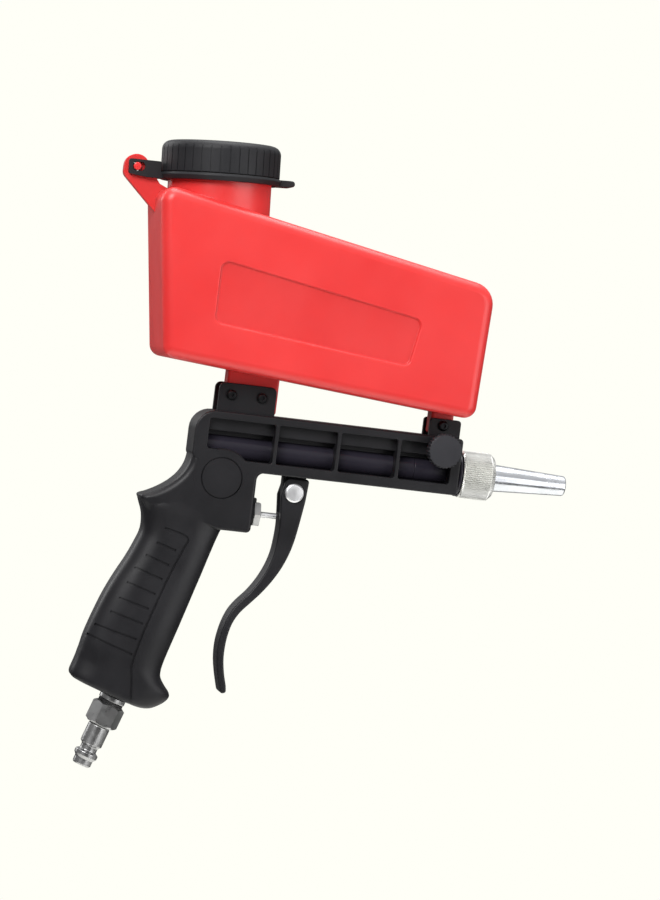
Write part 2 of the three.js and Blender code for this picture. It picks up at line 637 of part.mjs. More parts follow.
class Helix extends THREE.Curve {
  constructor(radius, turns, from, to) {
    super();
    Object.assign(this, { radius, turns, from, to });
  }

  getPoint(t) {
    const angle = t * this.turns * 2 * Math.PI;
    const along = this.from + t * (this.to - this.from);
    return new THREE.Vector3(along, this.radius * Math.cos(angle), this.radius * Math.sin(angle));
  }
}

function valveSpring() {
  const wire = new THREE.Shape();
  wire.absarc(0, 0, SPRING.wire, 0, 2 * Math.PI);
  const path = new Helix(SPRING.coil, SPRING.turns, SPRING.rear, SPRING.front);
  const geometry = new THREE.ExtrudeGeometry(wire, { steps: 44, extrudePath: path, curveSegments: 3 });
  return solid(geometry.translate(0, 0, VALVE.z));
}

// ---------------------------------------------------------------- air inlet
// The pieces hang below the grip: negative places are further down the inlet's axis.
function inletNipple() {
  return [[INLET.bore, -11], [4.8, -11], [4.8, -3.3], [7.8, -3.3], [7.8, -GAP], [INLET.shank, -GAP],
    [INLET.shank, 17.8], [INLET.bore, 17.8]];
}

function hexAdapter() {
  const across = 9.8;
  const from = -18.3;
  const to = -5;
  const chamferRadius = 8.6;
  const geometry = new THREE.ExtrudeGeometry(hexShape(across), { depth: to - from, bevelEnabled: false });
  geometry.translate(0, 0, from);
  const turnedEnds = solid(turned([[0, from], [chamferRadius, from], [across + 0.2, from + 1.2],
    [across + 0.2, to - 1.2], [chamferRadius, to], [0, to]], 'z', 18));
  const hole = solid(turned([[0, from - 1], [5.1, from - 1], [5.1, -12.2], [INLET.bore, -12.2],
    [INLET.bore, -11.4], [5.1, -11.4], [5.1, to + 1], [0, to + 1]], 'z', 18));
  return cut(solid(geometry).intersect(turnedEnds), hole);
}

function quickPlug() {
  return solid(turned([
    [INLET.bore, -43.5], [4.9, -43.5], [5.5, -42.6], [5.5, -38.4], [6.9, -37.6], [6.9, -35.6], [5, -34.4],
    [5, -31.4], [6.5, -30.4], [6.5, -19.4], [5.9, -18.6], [4.8, -18.6], [4.8, -12.8], [INLET.bore, -12.8],
  ], 'z', 18));
}

// ---------------------------------------------------------------- assembly
const gun = new THREE.Group();
gun.add(piece('gun_body', gunBody(), BLACK_PLASTIC));
gun.add(piece('badge_right', badge(-1), BLACK_PLASTIC));
gun.add(piece('badge_left', badge(1), BLACK_PLASTIC));

gun.add(piece('air_tube', airTube(), BLACK_GLOSS));
gun.add(piece('mixing_tube', mixingTube(), BLACK_GLOSS));
gun.add(piece('air_jet', airJet(), BRASS));
gun.add(piece('front_bush', frontBush(), BLACK_PLASTIC));
gun.add(piece('nozzle', nozzle(), BRIGHT_STEEL));
gun.add(piece('nozzle_seal', alongX(sealRing(7.4, 9.8, BUSH.front + GAP, NOZZLE.flangeRear - GAP), BORE_Z),
  BLACK_RUBBER));
gun.add(piece('nozzle_nut', nozzleNut(), ALUMINIUM));

gun.add(piece('sand_spindle', sandSpindle(), BRIGHT_STEEL));
gun.add(piece('sand_knob', sandKnob(), BLACK_PLASTIC));
for (const [name, middle] of [['spindle_seal_right', -10], ['spindle_seal_left', 10]]) {
  const ring = sealRing(SAND.spindle - 0.7, SAND.spindle + 0.1, middle - 0.7, middle + 0.7);
  gun.add(piece(name, alongY(ring, SAND.x, SAND.z), BLACK_RUBBER));
}
const spindleClip = retainingClip(SAND.spindle - 0.5, 6, 14.1, 15.1, SAND.x, SAND.z);
gun.add(piece('spindle_clip', spindleClip, BRIGHT_STEEL));

gun.add(piece('hopper', hopper(), RED_PLASTIC));
gun.add(piece('spout_seal', alongZ(tubeProfile(5.9, SPOUT.bore + 0.2, HOUSING.top + GAP, SPOUT.bottom - GAP),
  SPOUT.x, 20), BLACK_RUBBER));
for (const { name, x, z } of REAR_SCREWS) {
  gun.add(piece(`hopper_screw_${name}`, screw(x, z, -1, -outside - SCREW.nutHeight), BLACK_STEEL));
  const nut = new THREE.ExtrudeGeometry(hexShape(SCREW.nutAcross), { depth: SCREW.nutHeight,
    bevelEnabled: false });
  nut.rotateX(Math.PI / 2);
  nut.translate(x, outside + SCREW.nutHeight, z);
  const hole = alongY(rodProfile(SCREW.shank + 0.15, 0, 20), x, z, 12);
  gun.add(piece(`hopper_nut_${name}`, cut(solid(nut), hole), BLACK_STEEL));
}
for (const [name, side] of [['front_right', -1], ['front_left', 1]]) {
  const body = screw(FRONT_SCREW.x, FRONT_SCREW.z, side, FRONT_SCREW.end);
  gun.add(piece(`hopper_screw_${name}`, body, BLACK_STEEL));
}
gun.add(piece('lid_pin', lidPin(), RED_PLASTIC));

const lid = new THREE.Group();
lid.position.set(NECK.x, 0, NECK.z);
lid.rotation.y = degrees(-NECK.tilt);
lid.add(piece('lid_ring', lidRing(), BLACK_PLASTIC));
lid.add(piece('filler_cap', fillerCap(), BLACK_PLASTIC));
const sealDisc = turned(rodProfile(30.1, NECK.top + GAP, CAP.under - GAP), 'z', 36);
lid.add(piece('cap_seal', solid(sealDisc), BLACK_RUBBER));
gun.add(lid);

gun.add(piece('trigger', trigger(), BLACK_PLASTIC));
gun.add(piece('trigger_pin', triggerPin(), BRIGHT_STEEL));
gun.add(piece('trigger_clip', retainingClip(TRIGGER.pin - 0.4, 5, TRIGGER.half + 0.7, TRIGGER.half + 1.7,
  TRIGGER.pivotX, TRIGGER.pivotZ), BRIGHT_STEEL));

const seatProfile = tubeProfile(VALVE.bore - GAP, 2.9, VALVE.seatRear, VALVE.seatFront);
gun.add(piece('valve_seat', alongX(seatProfile, VALVE.z), BRASS));
gun.add(piece('valve_stem', valveStem(), BRIGHT_STEEL));
gun.add(piece('valve_spring', valveSpring(), BRIGHT_STEEL));
gun.add(piece('valve_nut', valveNut(), BRASS));
gun.add(piece('stem_seal', alongX(sealRing(VALVE.stem + 0.15, 3, 50.6, 52.4), VALVE.z, 20), BLACK_RUBBER));

const inlet = new THREE.Group();
inlet.position.set(INLET.x, 0, INLET.z);
inlet.rotation.y = degrees(INLET.tilt);
const airTubeProfile = tubeProfile(INLET.tube, INLET.tubeBore, 18.6, INLET.tubeTop);
inlet.add(piece('grip_air_tube', solid(turned(airTubeProfile, 'z', 16)), BLACK_GLOSS));
inlet.add(piece('inlet_nipple', solid(turned(inletNipple(), 'z', 18)), BRIGHT_STEEL));
inlet.add(piece('inlet_seal', solid(turned(tubeProfile(7.4, 5.1, -4.7, -3.6), 'z', 18)), BLACK_RUBBER));
inlet.add(piece('hex_adapter', hexAdapter(), BRIGHT_STEEL));
inlet.add(piece('quick_plug', quickPlug(), BRIGHT_STEEL));
gun.add(inlet);

export default gun;
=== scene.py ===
"""Visual model of a hand-held gravity-feed sandblasting gun, built around its fixed frame."""
import json
import math

import bpy
from mathutils import Matrix, Vector


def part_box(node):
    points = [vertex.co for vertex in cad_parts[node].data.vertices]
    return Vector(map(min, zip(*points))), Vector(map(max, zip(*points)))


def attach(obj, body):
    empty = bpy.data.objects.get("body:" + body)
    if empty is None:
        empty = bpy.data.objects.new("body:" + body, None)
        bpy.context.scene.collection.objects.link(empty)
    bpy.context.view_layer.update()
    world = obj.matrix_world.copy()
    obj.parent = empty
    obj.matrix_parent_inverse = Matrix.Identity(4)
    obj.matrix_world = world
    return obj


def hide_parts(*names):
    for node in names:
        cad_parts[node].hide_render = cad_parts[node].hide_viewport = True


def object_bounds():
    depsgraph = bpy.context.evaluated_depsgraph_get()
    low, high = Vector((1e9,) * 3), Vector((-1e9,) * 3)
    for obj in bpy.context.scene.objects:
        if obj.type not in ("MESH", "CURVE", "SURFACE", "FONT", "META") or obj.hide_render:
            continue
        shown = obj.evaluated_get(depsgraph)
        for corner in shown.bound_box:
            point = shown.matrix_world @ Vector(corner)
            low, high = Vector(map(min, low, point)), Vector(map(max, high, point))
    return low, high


bl_info = {
    "name": "Sandblasting gun",
    "version": (1, 0, 0),
    "blender": (4, 5, 0),
    "location": "View3D > Sidebar > Sandblasting gun",
    "description": "Builds the hopper, lid, pistol body, trigger, nozzle and air inlet of a sandblasting gun",
    "category": "Mesh",
}

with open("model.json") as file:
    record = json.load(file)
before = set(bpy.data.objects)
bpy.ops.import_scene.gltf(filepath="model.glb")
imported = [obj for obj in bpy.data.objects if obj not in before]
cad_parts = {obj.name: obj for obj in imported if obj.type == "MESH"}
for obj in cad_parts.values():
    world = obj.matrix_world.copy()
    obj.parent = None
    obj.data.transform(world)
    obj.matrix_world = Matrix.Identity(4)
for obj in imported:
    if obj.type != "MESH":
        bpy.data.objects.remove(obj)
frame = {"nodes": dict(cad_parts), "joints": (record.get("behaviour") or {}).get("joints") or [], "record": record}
CAD_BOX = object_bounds()

MM = 0.001
X = Vector((1, 0, 0))
Y = Vector((0, 1, 0))
Z = Vector((0, 0, 1))


# ---------------------------------------------------------------- places taken from the frame
def middle(node):
    """The middle of a node's box, in millimetres."""
    low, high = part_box(node)
    return (low + high) / 2 / MM


BARREL_Z = middle("nozzle").z
KNOB_X, KNOB_Z = middle("sand_knob").x, middle("sand_knob").z
PIVOT_X, PIVOT_Z = middle("trigger_pin").x, middle("trigger_pin").z
LUG_X, LUG_Z = middle("lid_pin").x, middle("lid_pin").z
BADGE_X, BADGE_Z = middle("badge_right").x, middle("badge_right").z
VALVE_Z = middle("valve_stem").z
REAR_SCREWS = [middle("hopper_screw_rear_1"), middle("hopper_screw_rear_2")]
FRONT_SCREW = middle("hopper_screw_front_right")
MOUNTS = {mount["name"]: mount for mount in frame["record"]["mounts"]}
INLET_AXIS = -Vector(MOUNTS["air_inlet_face"]["axis"]).normalized()
PLUG_END = Vector(MOUNTS["air_inlet_face"]["pos_m"]) / MM
INLET_LENGTH = 43.5  # from the end of the plug to the underside of the handle
INLET_TOP = Vector((PLUG_END.x, 0, PLUG_END.z)) + INLET_AXIS * INLET_LENGTH
JOINTS = {joint["name"]: joint for joint in frame["joints"]}
LID_AXIS = Vector(JOINTS["cap_turn"]["axis"]).normalized()
LID_FOOT = Vector(JOINTS["cap_turn"]["pos_m"]) / MM


# ---------------------------------------------------------------- modelling helpers
def only(piece):
    """Selects one object and nothing else."""
    bpy.ops.object.select_all(action="DESELECT")
    piece.select_set(True)
    bpy.context.view_layer.objects.active = piece


def trace(name, points):
    """Draws a line vertex by vertex through points in millimetres and stays in edit mode."""
    bpy.ops.object.select_all(action="DESELECT")
    bpy.ops.mesh.primitive_plane_add(size=MM, location=(0, 0, 0))
    piece = bpy.context.active_object
    piece.name = name
    piece.data.name = name
    bpy.ops.object.mode_set(mode="EDIT")
    bpy.ops.mesh.select_mode(type="VERT")
    bpy.ops.mesh.select_all(action="SELECT")
    bpy.ops.mesh.merge(type="CENTER")
    bpy.ops.transform.translate(value=points[0] * MM)
    for here, there in zip(points, points[1:]):
        bpy.ops.mesh.extrude_vertices_move(TRANSFORM_OT_translate={"value": (there - here) * MM})
    return piece


def close_up():
    """Merges doubles, turns the faces outwards and leaves edit mode."""
    bpy.ops.mesh.select_all(action="SELECT")
    bpy.ops.mesh.remove_doubles(threshold=0.002 * MM)
    bpy.ops.mesh.normals_make_consistent(inside=False)
    bpy.ops.object.mode_set(mode="OBJECT")


def rounded(corners, steps=6, closed=True):
    """Points along corners (a, b, radius), each corner turned into an arc of its radius."""
    points = []
    count = len(corners)
    for i, corner in enumerate(corners):
        here = Vector(corner[:2])
        radius = corner[2] if len(corner) > 2 else 0
        if radius <= 0 or (not closed and i in (0, count - 1)):
            points.append(here)
            continue
        back = (Vector(corners[i - 1][:2]) - here).normalized()
        ahead = (Vector(corners[(i + 1) % count][:2]) - here).normalized()
        half = back.angle(ahead) / 2
        centre = here + (back + ahead).normalized() * (radius / math.sin(half))
        reach = radius / math.tan(half)
        start = here + back * reach - centre
        end = here + ahead * reach - centre
        turn = start.angle_signed(end)
        for step in range(steps + 1):
            angle = -turn * step / steps
            points.append(centre + Matrix.Rotation(angle, 2) @ start)
    return points


def curve_through(points, steps=6):
    """A smooth open line through points (Catmull-Rom)."""
    ends = [points[0]] + list(points) + [points[-1]]
    line = []
    for i in range(1, len(ends) - 2):
        a, b, c, d = (Vector(ends[k]) for k in range(i - 1, i + 3))
        for step in range(steps):
            t = step / steps
            line.append(0.5 * (2 * b + (c - a) * t + (2 * a - 5 * b + 4 * c - d) * t * t
                               + (3 * b - a - 3 * c + d) * t ** 3))
    line.append(Vector(points[-1]))
    return line


def bevel_where(piece, test, width, segments=3):
    """Rounds the sharp edges whose two ends pass the test."""
    only(piece)
    bpy.ops.object.mode_set(mode="EDIT")
    bpy.ops.mesh.select_mode(type="EDGE")
    bpy.ops.mesh.select_all(action="DESELECT")
    bpy.ops.mesh.edges_select_sharp(sharpness=math.radians(30))
    bpy.ops.object.mode_set(mode="OBJECT")
    vertices = piece.data.vertices
    sharp = [edge.index for edge in piece.data.edges if edge.select]
    bpy.ops.object.mode_set(mode="EDIT")
    bpy.ops.mesh.select_all(action="DESELECT")
    bpy.ops.object.mode_set(mode="OBJECT")
    for index in sharp:
        edge = piece.data.edges[index]
        a, b = (vertices[i].co / MM for i in edge.vertices)
        edge.select = test(a, b)
    bpy.ops.object.mode_set(mode="EDIT")
    bpy.ops.mesh.bevel(offset=width * MM, segments=segments, affect="EDGES", clamp_overlap=True)
    bpy.ops.object.mode_set(mode="OBJECT")


def plate(name, outline, low, high, edge=0, segments=4):
    """A closed outline in X and Z becomes a plate from y = low to y = high with rounded rims."""
    piece = trace(name, [Vector((p[0], low, p[1])) for p in outline])
    bpy.ops.mesh.select_all(action="SELECT")
    bpy.ops.mesh.edge_face_add()
    bpy.ops.mesh.extrude_region_move(TRANSFORM_OT_translate={"value": (0, (high - low) * MM, 0)})
    close_up()
    if edge:
        bevel_where(piece, lambda a, b: abs(a.y - b.y) < 0.01, edge, segments)
    return piece


def turned(name, profile, axis=Z, centre=Vector((0, 0, 0)), steps=64, tube=False):
    """Spins a profile of (radius, place along the axis) round the axis through centre."""
    side = Y if abs(axis.y) < 0.9 else X
    points = [centre + side * p[0] + axis * p[1] for p in profile]
    if tube:
        points.append(points[0].copy())
    piece = trace(name, points)
    bpy.ops.mesh.select_all(action="SELECT")
    bpy.ops.mesh.spin(steps=steps, angle=2 * math.pi, center=centre * MM, axis=axis)
    close_up()
    return piece


def around(piece, count, axis, centre):
    """Repeats a cutter evenly round the axis."""
    only(piece)
    bpy.ops.object.mode_set(mode="EDIT")
    bpy.ops.mesh.select_all(action="SELECT")
    bpy.ops.mesh.spin(steps=count, dupli=True, angle=2 * math.pi, center=centre * MM, axis=axis)
    close_up()
    return piece


def block(name, low, high, edge=0, segments=3):
    """A box between two corners with all its edges rounded."""
    low, high = Vector(low), Vector(high)
    bpy.ops.object.select_all(action="DESELECT")
    bpy.ops.mesh.primitive_cube_add(size=MM, location=(0, 0, 0))
    piece = bpy.context.active_object
    piece.name = name
    bpy.ops.object.mode_set(mode="EDIT")
    bpy.ops.mesh.select_all(action="SELECT")
    bpy.ops.transform.resize(value=high - low)
    bpy.ops.transform.translate(value=(high + low) / 2 * MM)
    if edge:
        bpy.ops.mesh.bevel(offset=edge * MM, segments=segments, affect="EDGES")
    bpy.ops.object.mode_set(mode="OBJECT")
    return piece


def mend(piece):
    """Welds points that lie on each other and drops slivers."""
    only(piece)
    bpy.ops.object.mode_set(mode="EDIT")
    bpy.ops.mesh.select_all(action="SELECT")
    bpy.ops.mesh.remove_doubles(threshold=0.01 * MM)
    bpy.ops.mesh.dissolve_degenerate(threshold=0.002 * MM)
    bpy.ops.object.mode_set(mode="OBJECT")


def combine(piece, operation, *others):
    """Applies a boolean with each of the others in turn and removes them."""
    for other in others:
        only(piece)
        step = piece.modifiers.new(operation.title(), "BOOLEAN")
        step.operation = operation
        step.solver = "EXACT"
        step.object = other
        bpy.ops.object.modifier_apply(modifier=step.name)
        bpy.data.objects.remove(other)
        mend(piece)
    return piece


def add(piece, *others):
    """Melts other shapes into the piece."""
    return combine(piece, "UNION", *others)


def cut(piece, *others):
    """Takes other shapes away from the piece."""
    return combine(piece, "DIFFERENCE", *others)


def soften(piece, width, segments=2, angle=40):
    """Rounds every crease sharper than the angle."""
    only(piece)
    step = piece.modifiers.new("Soften", "BEVEL")
    step.width = width * MM
    step.segments = segments
    step.limit_method = "ANGLE"
    step.angle_limit = math.radians(angle)
    bpy.ops.object.modifier_apply(modifier=step.name)
    return piece


def shade(piece, angle=35):
    """Smooth shading with creases past the angle, and level normals on the broad faces."""
    only(piece)
    bpy.ops.object.shade_smooth_by_angle(angle=math.radians(angle))
    step = piece.modifiers.new("Level", "WEIGHTED_NORMAL")
    step.keep_sharp = True
    bpy.ops.object.modifier_apply(modifier=step.name)


def finish_piece(piece, material, body, slot, *nodes, angle=35):
    """Shades a piece, gives it its material, hangs it on its body's empty and hides the frame nodes that it
    replaces.
    """
    mend(piece)
    shade(piece, angle)
    piece.data.materials.clear()
    piece.data.materials.append(material)
    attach(piece, body)
    if nodes:
        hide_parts(*nodes)
    return piece


# ---------------------------------------------------------------- materials
def new_material(name, colour, roughness, metallic=0.0):
    """A principled material with its nodes, its shader and its object coordinates."""
    material = bpy.data.materials.new(name)
    material.use_nodes = True
    nodes = material.node_tree.nodes
    shader = nodes["Principled BSDF"]
    shader.inputs["Base Color"].default_value = (*colour, 1)
    shader.inputs["Roughness"].default_value = roughness
    shader.inputs["Metallic"].default_value = metallic
    place = nodes.new("ShaderNodeTexCoord")
    return material, shader, place.outputs["Object"]


def scaled(material, place, scale):
    """Stretches the coordinates that a pattern reads."""
    mapping = material.node_tree.nodes.new("ShaderNodeMapping")
    mapping.inputs["Scale"].default_value = scale
    material.node_tree.links.new(place, mapping.inputs["Vector"])
    return mapping.outputs["Vector"]


def noise(material, place, scale, detail=3.0, rough=0.55):
    """A noise pattern on the given coordinates."""
    texture = material.node_tree.nodes.new("ShaderNodeTexNoise")
    texture.inputs["Scale"].default_value = scale
    texture.inputs["Detail"].default_value = detail
    texture.inputs["Roughness"].default_value = rough
    material.node_tree.links.new(place, texture.inputs["Vector"])
    return texture.outputs["Fac"]


def vary_colour(material, shader, fac, light, dark, low=0.35, high=0.65):
    """Runs the base colour between a dark and a light tone."""
    ramp = material.node_tree.nodes.new("ShaderNodeValToRGB")
    ramp.color_ramp.elements[0].position = low
    ramp.color_ramp.elements[0].color = (*dark, 1)
    ramp.color_ramp.elements[1].position = high
    ramp.color_ramp.elements[1].color = (*light, 1)
    material.node_tree.links.new(fac, ramp.inputs["Fac"])
    material.node_tree.links.new(ramp.outputs["Color"], shader.inputs["Base Color"])


def vary_roughness(material, shader, fac, low, high):
    """Runs the roughness between two values."""
    span = material.node_tree.nodes.new("ShaderNodeMapRange")
    span.inputs["From Min"].default_value = 0.3
    span.inputs["From Max"].default_value = 0.7
    span.inputs["To Min"].default_value = low
    span.inputs["To Max"].default_value = high
    material.node_tree.links.new(fac, span.inputs["Value"])
    material.node_tree.links.new(span.outputs["Result"], shader.inputs["Roughness"])


def add_bump(material, shader, height, strength, distance, before=None):
    """Puts a bump, its height in millimetres, on the shader, over an earlier one if there is one."""
    bump = material.node_tree.nodes.new("ShaderNodeBump")
    bump.inputs["Strength"].default_value = strength
    bump.inputs["Distance"].default_value = distance * MM
    material.node_tree.links.new(height, bump.inputs["Height"])
    if before:
        material.node_tree.links.new(before, bump.inputs["Normal"])
    material.node_tree.links.new(bump.outputs["Normal"], shader.inputs["Normal"])
    return bump.outputs["Normal"]


def moulded_plastic(name, colour, roughness, grain=900, depth=0.03, spread=0.18):
    """Moulded plastic: fine spark grain, slow sink waves and a slightly uneven gloss and tone."""
    material, shader, place = new_material(name, colour, roughness)
    shader.inputs["Specular IOR Level"].default_value = 0.26
    light = tuple(min(1, c * (1 + spread) + 0.002) for c in colour)
    dark = tuple(c * (1 - spread) for c in colour)
    vary_colour(material, shader, noise(material, place, 28, 4), light, dark)
    vary_roughness(material, shader, noise(material, place, 60, 5), roughness - 0.05, roughness + 0.06)
    wave = add_bump(material, shader, noise(material, place, 45, 1), 0.12, 0.25)
    add_bump(material, shader, noise(material, place, grain, 2), 0.5, depth, wave)
    return material


def blown_plastic(name, colour, roughness):
    """Blow-moulded hopper plastic: a little light goes in, with soft waves and a fine orange peel."""
    material, shader, place = new_material(name, colour, roughness)
    shader.inputs["Subsurface Weight"].default_value = 0.25
    shader.inputs["Subsurface Radius"].default_value = (1.0, 0.25, 0.2)
    shader.inputs["Subsurface Scale"].default_value = 3 * MM
    light = (min(1, colour[0] * 1.06), colour[1] * 1.35, colour[2] * 1.3)
    dark = (colour[0] * 0.93, colour[1] * 0.8, colour[2] * 0.8)
    vary_colour(material, shader, noise(material, place, 16, 3), light, dark, 0.25, 0.75)
    vary_roughness(material, shader, noise(material, place, 34, 4), roughness - 0.04, roughness + 0.07)
    wave = add_bump(material, shader, noise(material, place, 22, 2), 0.25, 0.5)
    add_bump(material, shader, noise(material, place, 520, 2), 0.35, 0.04, wave)
    return material


def turned_metal(name, colour, roughness, along, depth=0.02):
    """Machined metal with fine turning lines across the given axis and a few duller patches."""
    material, shader, place = new_material(name, colour, roughness, 1.0)
    light = tuple(min(1, c * 1.08) for c in colour)
    dark = tuple(c * 0.88 for c in colour)
    vary_colour(material, shader, noise(material, place, 70, 4), light, dark)
    vary_roughness(material, shader, noise(material, place, 130, 4), roughness - 0.06, roughness + 0.1)
    stretch = [60 + 5200 * abs(component) for component in along]
    lines = noise(material, scaled(material, place, stretch), 1, 2)
    add_bump(material, shader, lines, 0.35, depth)
    return material


def rubber(name, colour):
    """Dull seal rubber with a fine grain."""
    material, shader, place = new_material(name, colour, 0.75)
    vary_colour(material, shader, noise(material, place, 80, 3), tuple(c * 1.4 for c in colour), colour)
    add_bump(material, shader, noise(material, place, 1500, 2), 0.5, 0.03)
    return material


MATERIALS = {}


def make_materials(colours):
    """Makes every finish once, from the user's colours."""
    MATERIALS["red"] = blown_plastic("Red hopper plastic", colours.hopper, 0.33)
    MATERIALS["black"] = moulded_plastic("Black body plastic", colours.body, 0.42)
    MATERIALS["gloss"] = moulded_plastic("Glossy black tube", colours.tube, 0.2, 300, 0.01, 0.1)
    MATERIALS["knob"] = moulded_plastic("Knob plastic", colours.knob, 0.5, 700, 0.05)
    MATERIALS["lid"] = moulded_plastic("Lid plastic", colours.lid, 0.52, 800, 0.03)
    MATERIALS["nozzle"] = turned_metal("Polished nozzle", colours.nozzle, 0.2, X, 0.01)
    MATERIALS["nut"] = turned_metal("Knurled aluminium", colours.nut, 0.38, X, 0.03)
    MATERIALS["steel"] = turned_metal("Plated inlet steel", colours.steel, 0.3, INLET_AXIS, 0.006)
    MATERIALS["silver"] = turned_metal("Bright pin", colours.silver, 0.4, Y, 0.008)
    MATERIALS["screw"] = turned_metal("Blackened screw", (0.03, 0.03, 0.032), 0.4, Y)
    MATERIALS["brass"] = turned_metal("Nickel plated brass", colours.brass, 0.3, X)
    MATERIALS["rubber"] = rubber("Seal rubber", (0.018, 0.018, 0.018))


def colour_property(label, words, value):
    """A colour that the user can change."""
    return bpy.props.FloatVectorProperty(name=label, description=words, default=value, size=3, min=0, max=1,
                                         subtype="COLOR")


class BlastGunColours(bpy.types.PropertyGroup):
    """Colours of the finishes."""
    hopper: colour_property("Hopper", "Red of the blow-moulded hopper", (0.72, 0.034, 0.034))
    body: colour_property("Body", "Black of the moulded pistol body", (0.010, 0.0097, 0.0115))
    tube: colour_property("Tube", "Black of the glossy air tube", (0.018, 0.016, 0.024))
    knob: colour_property("Knob", "Grey black of the sand valve knob", (0.028, 0.028, 0.033))
    lid: colour_property("Lid", "Black of the screw lid and its ring", (0.013, 0.013, 0.015))
    nozzle: colour_property("Nozzle", "Tint of the polished nozzle", (0.72, 0.74, 0.78))
    nut: colour_property("Nut", "Tint of the knurled nut", (0.76, 0.76, 0.73))
    steel: colour_property("Inlet steel", "Tint of the air inlet pieces", (0.4, 0.4, 0.4))
    silver: colour_property("Pins", "Tint of the bright pins and clips", (0.84, 0.84, 0.85))
    brass: colour_property("Brass", "Tint of the plated brass in the valve", (0.66, 0.63, 0.56))


def length_property(label, words, value):
    """A length that the user can change, given here in millimetres."""
    return bpy.props.FloatProperty(name=label, description=words, default=value * MM, min=0, precision=5,
                                   subtype="DISTANCE", unit="LENGTH")


class BlastGunSizes(bpy.types.PropertyGroup):
    """Sizes that the visible pieces are worked out from."""
    hopper_half: length_property("Hopper half width", "Half the width of the hopper", 35)
    hopper_wall: length_property("Hopper wall", "Thickness of the hopper wall", 2.5)
    hopper_edge: length_property("Hopper edge", "Rounding of the hopper's side edges", 6.4)
    panel_depth: length_property("Panel depth", "Depth of the recessed side panel", 1.9)
    body_half: length_property("Body half width", "Half the width of the barrel housing", 13.9)
    body_edge: length_property("Body edge", "Rounding of the body's edges", 1.6)
    groove: length_property("Grip groove", "Depth of the grooves in the grip", 0.8)
    groove_width: length_property("Grip groove width", "Width of the grooves in the grip", 1.3)
    cap_radius: length_property("Cap radius", "Outer radius of the screw lid", 34.1)
    cap_round: length_property("Cap rounding", "Rounding of the lid's top edge", 5)
    trigger_half: length_property("Trigger half width", "Half the width of the trigger blade", 8)


# ---------------------------------------------------------------- hopper
FLOOR_FALL = math.tan(math.radians(4.6))  # slope of the hopper's floor, down towards the spout
ROOF_FALL = math.tan(math.radians(10.1))  # slope of its top, down towards the front
HOPPER_FRONT = 174.4
ROOF_FRONT = 177.4
NECK_RADIUS = 29.7


def hopper_outline(inset, corner_steps=8):
    """Side outline of the hopper, between the lines of its four walls."""
    def bottom(x):
        return 141.6 - (x + 12.6) * FLOOR_FALL

    def top(x):
        return 205.4 + (164.5 - x) * ROOF_FALL

    return rounded([
        (-9 + inset, bottom(-12) + inset, 6.8 - inset),
        (HOPPER_FRONT - inset, bottom(HOPPER_FRONT) + inset, 7 - inset),
        (ROOF_FRONT - inset, top(ROOF_FRONT) - inset, 13 - inset),
        (-22 + inset, top(-20) - inset, 8 - inset),
    ], corner_steps)


def build_hopper(sizes):
    """The hollow hopper with its recessed panels, neck, leg, spout and hinge lug."""
    half = sizes.hopper_half / MM
    wall = sizes.hopper_wall / MM
    edge = sizes.hopper_edge / MM
    depth = sizes.panel_depth / MM
    shell = plate("hopper_shell", hopper_outline(0), -half, half, edge, 6)

    panel = [(17.3, 163.8, 4.5), (131, 152.4, 4.5), (136, 179.6, 4.5), (17.2, 199.4, 4.5)]
    for side in (-1, 1):
        recess = plate("panel", rounded(panel, 6), side * (half - depth), side * (half + 5))
        cut(shell, recess)
    bevel_where(shell, lambda a, b: panel_edge(a, b, half, depth), 0.9, 3)

    leg = plate("leg", rounded([(32.8, 115, 2), (63.2, 115, 2), (63.2, 142), (32.8, 142)]), -6.2, 6.2, 1.4, 3)
    spout = block("spout", (154.6, -6.2, 115.9), (168, 6.2, 134), 1.4)
    neck = turned("neck", [(0, -26), (NECK_RADIUS, -26), (NECK_RADIUS, 13), (28.9, 13.9), (0, 13.9)],
                  LID_AXIS, LID_FOOT, 96)
    lug = plate("lug", rounded([
        (LUG_X - 7.1, LUG_Z + 7.1, 7), (LUG_X - 7.1, LUG_Z - 5, 5), (-19.5, 222), (-8, 222),
        (-8, 234), (-19, 238.5, 2), (LUG_X + 7.1, LUG_Z + 1, 4), (LUG_X + 7.1, LUG_Z + 7.1, 7),
    ], 8), -3.3, 3.3, 0.6, 2)
    add(shell, neck, leg, spout, lug)
    bevel_where(shell, neck_joint, 1.2, 3)

    hollow = plate("hollow", hopper_outline(wall), -(half - wall), half - wall, edge - 1.5, 4)
    mouth = turned("mouth", [(0, -25), (26.7, -25), (26.7, 20), (0, 20)], LID_AXIS, LID_FOOT, 96)
    outlet = turned("outlet", [(0, 110), (3.4, 110), (3.4, 140), (0, 140)], Z, Vector((161.3, 0, 0)), 32)
    pin_hole = turned("pin_hole", [(0, -8), (2.5, -8), (2.5, 8), (0, 8)], Y, Vector((LUG_X, 0, LUG_Z)), 24)
    cut(shell, hollow, mouth, outlet, pin_hole)
    return finish_piece(shell, MATERIALS["red"], "gun", "hopper_red", "hopper", angle=32)


def panel_edge(a, b, half, depth):
    """Edges round the recessed panel, at the side wall and at the bottom of the recess."""
    levels = (abs(abs(a.y) - half) < 0.01 and abs(abs(b.y) - half) < 0.01,
              abs(abs(a.y) - half + depth) < 0.01 and abs(abs(b.y) - half + depth) < 0.01)
    inside = all(15 < p.x < 138 and 150 < p.z < 202 for p in (a, b))
    return inside and any(levels)


def neck_joint(a, b):
    """Edges where the neck leaves the top of the hopper."""
    def on_joint(p):
        along = (p - LID_FOOT).dot(LID_AXIS)
        radius = (p - LID_FOOT - LID_AXIS * along).length
        return abs(radius - NECK_RADIUS) < 0.05 and -20 < along < 2
    return on_joint(a) and on_joint(b) and (a - b).length < 8


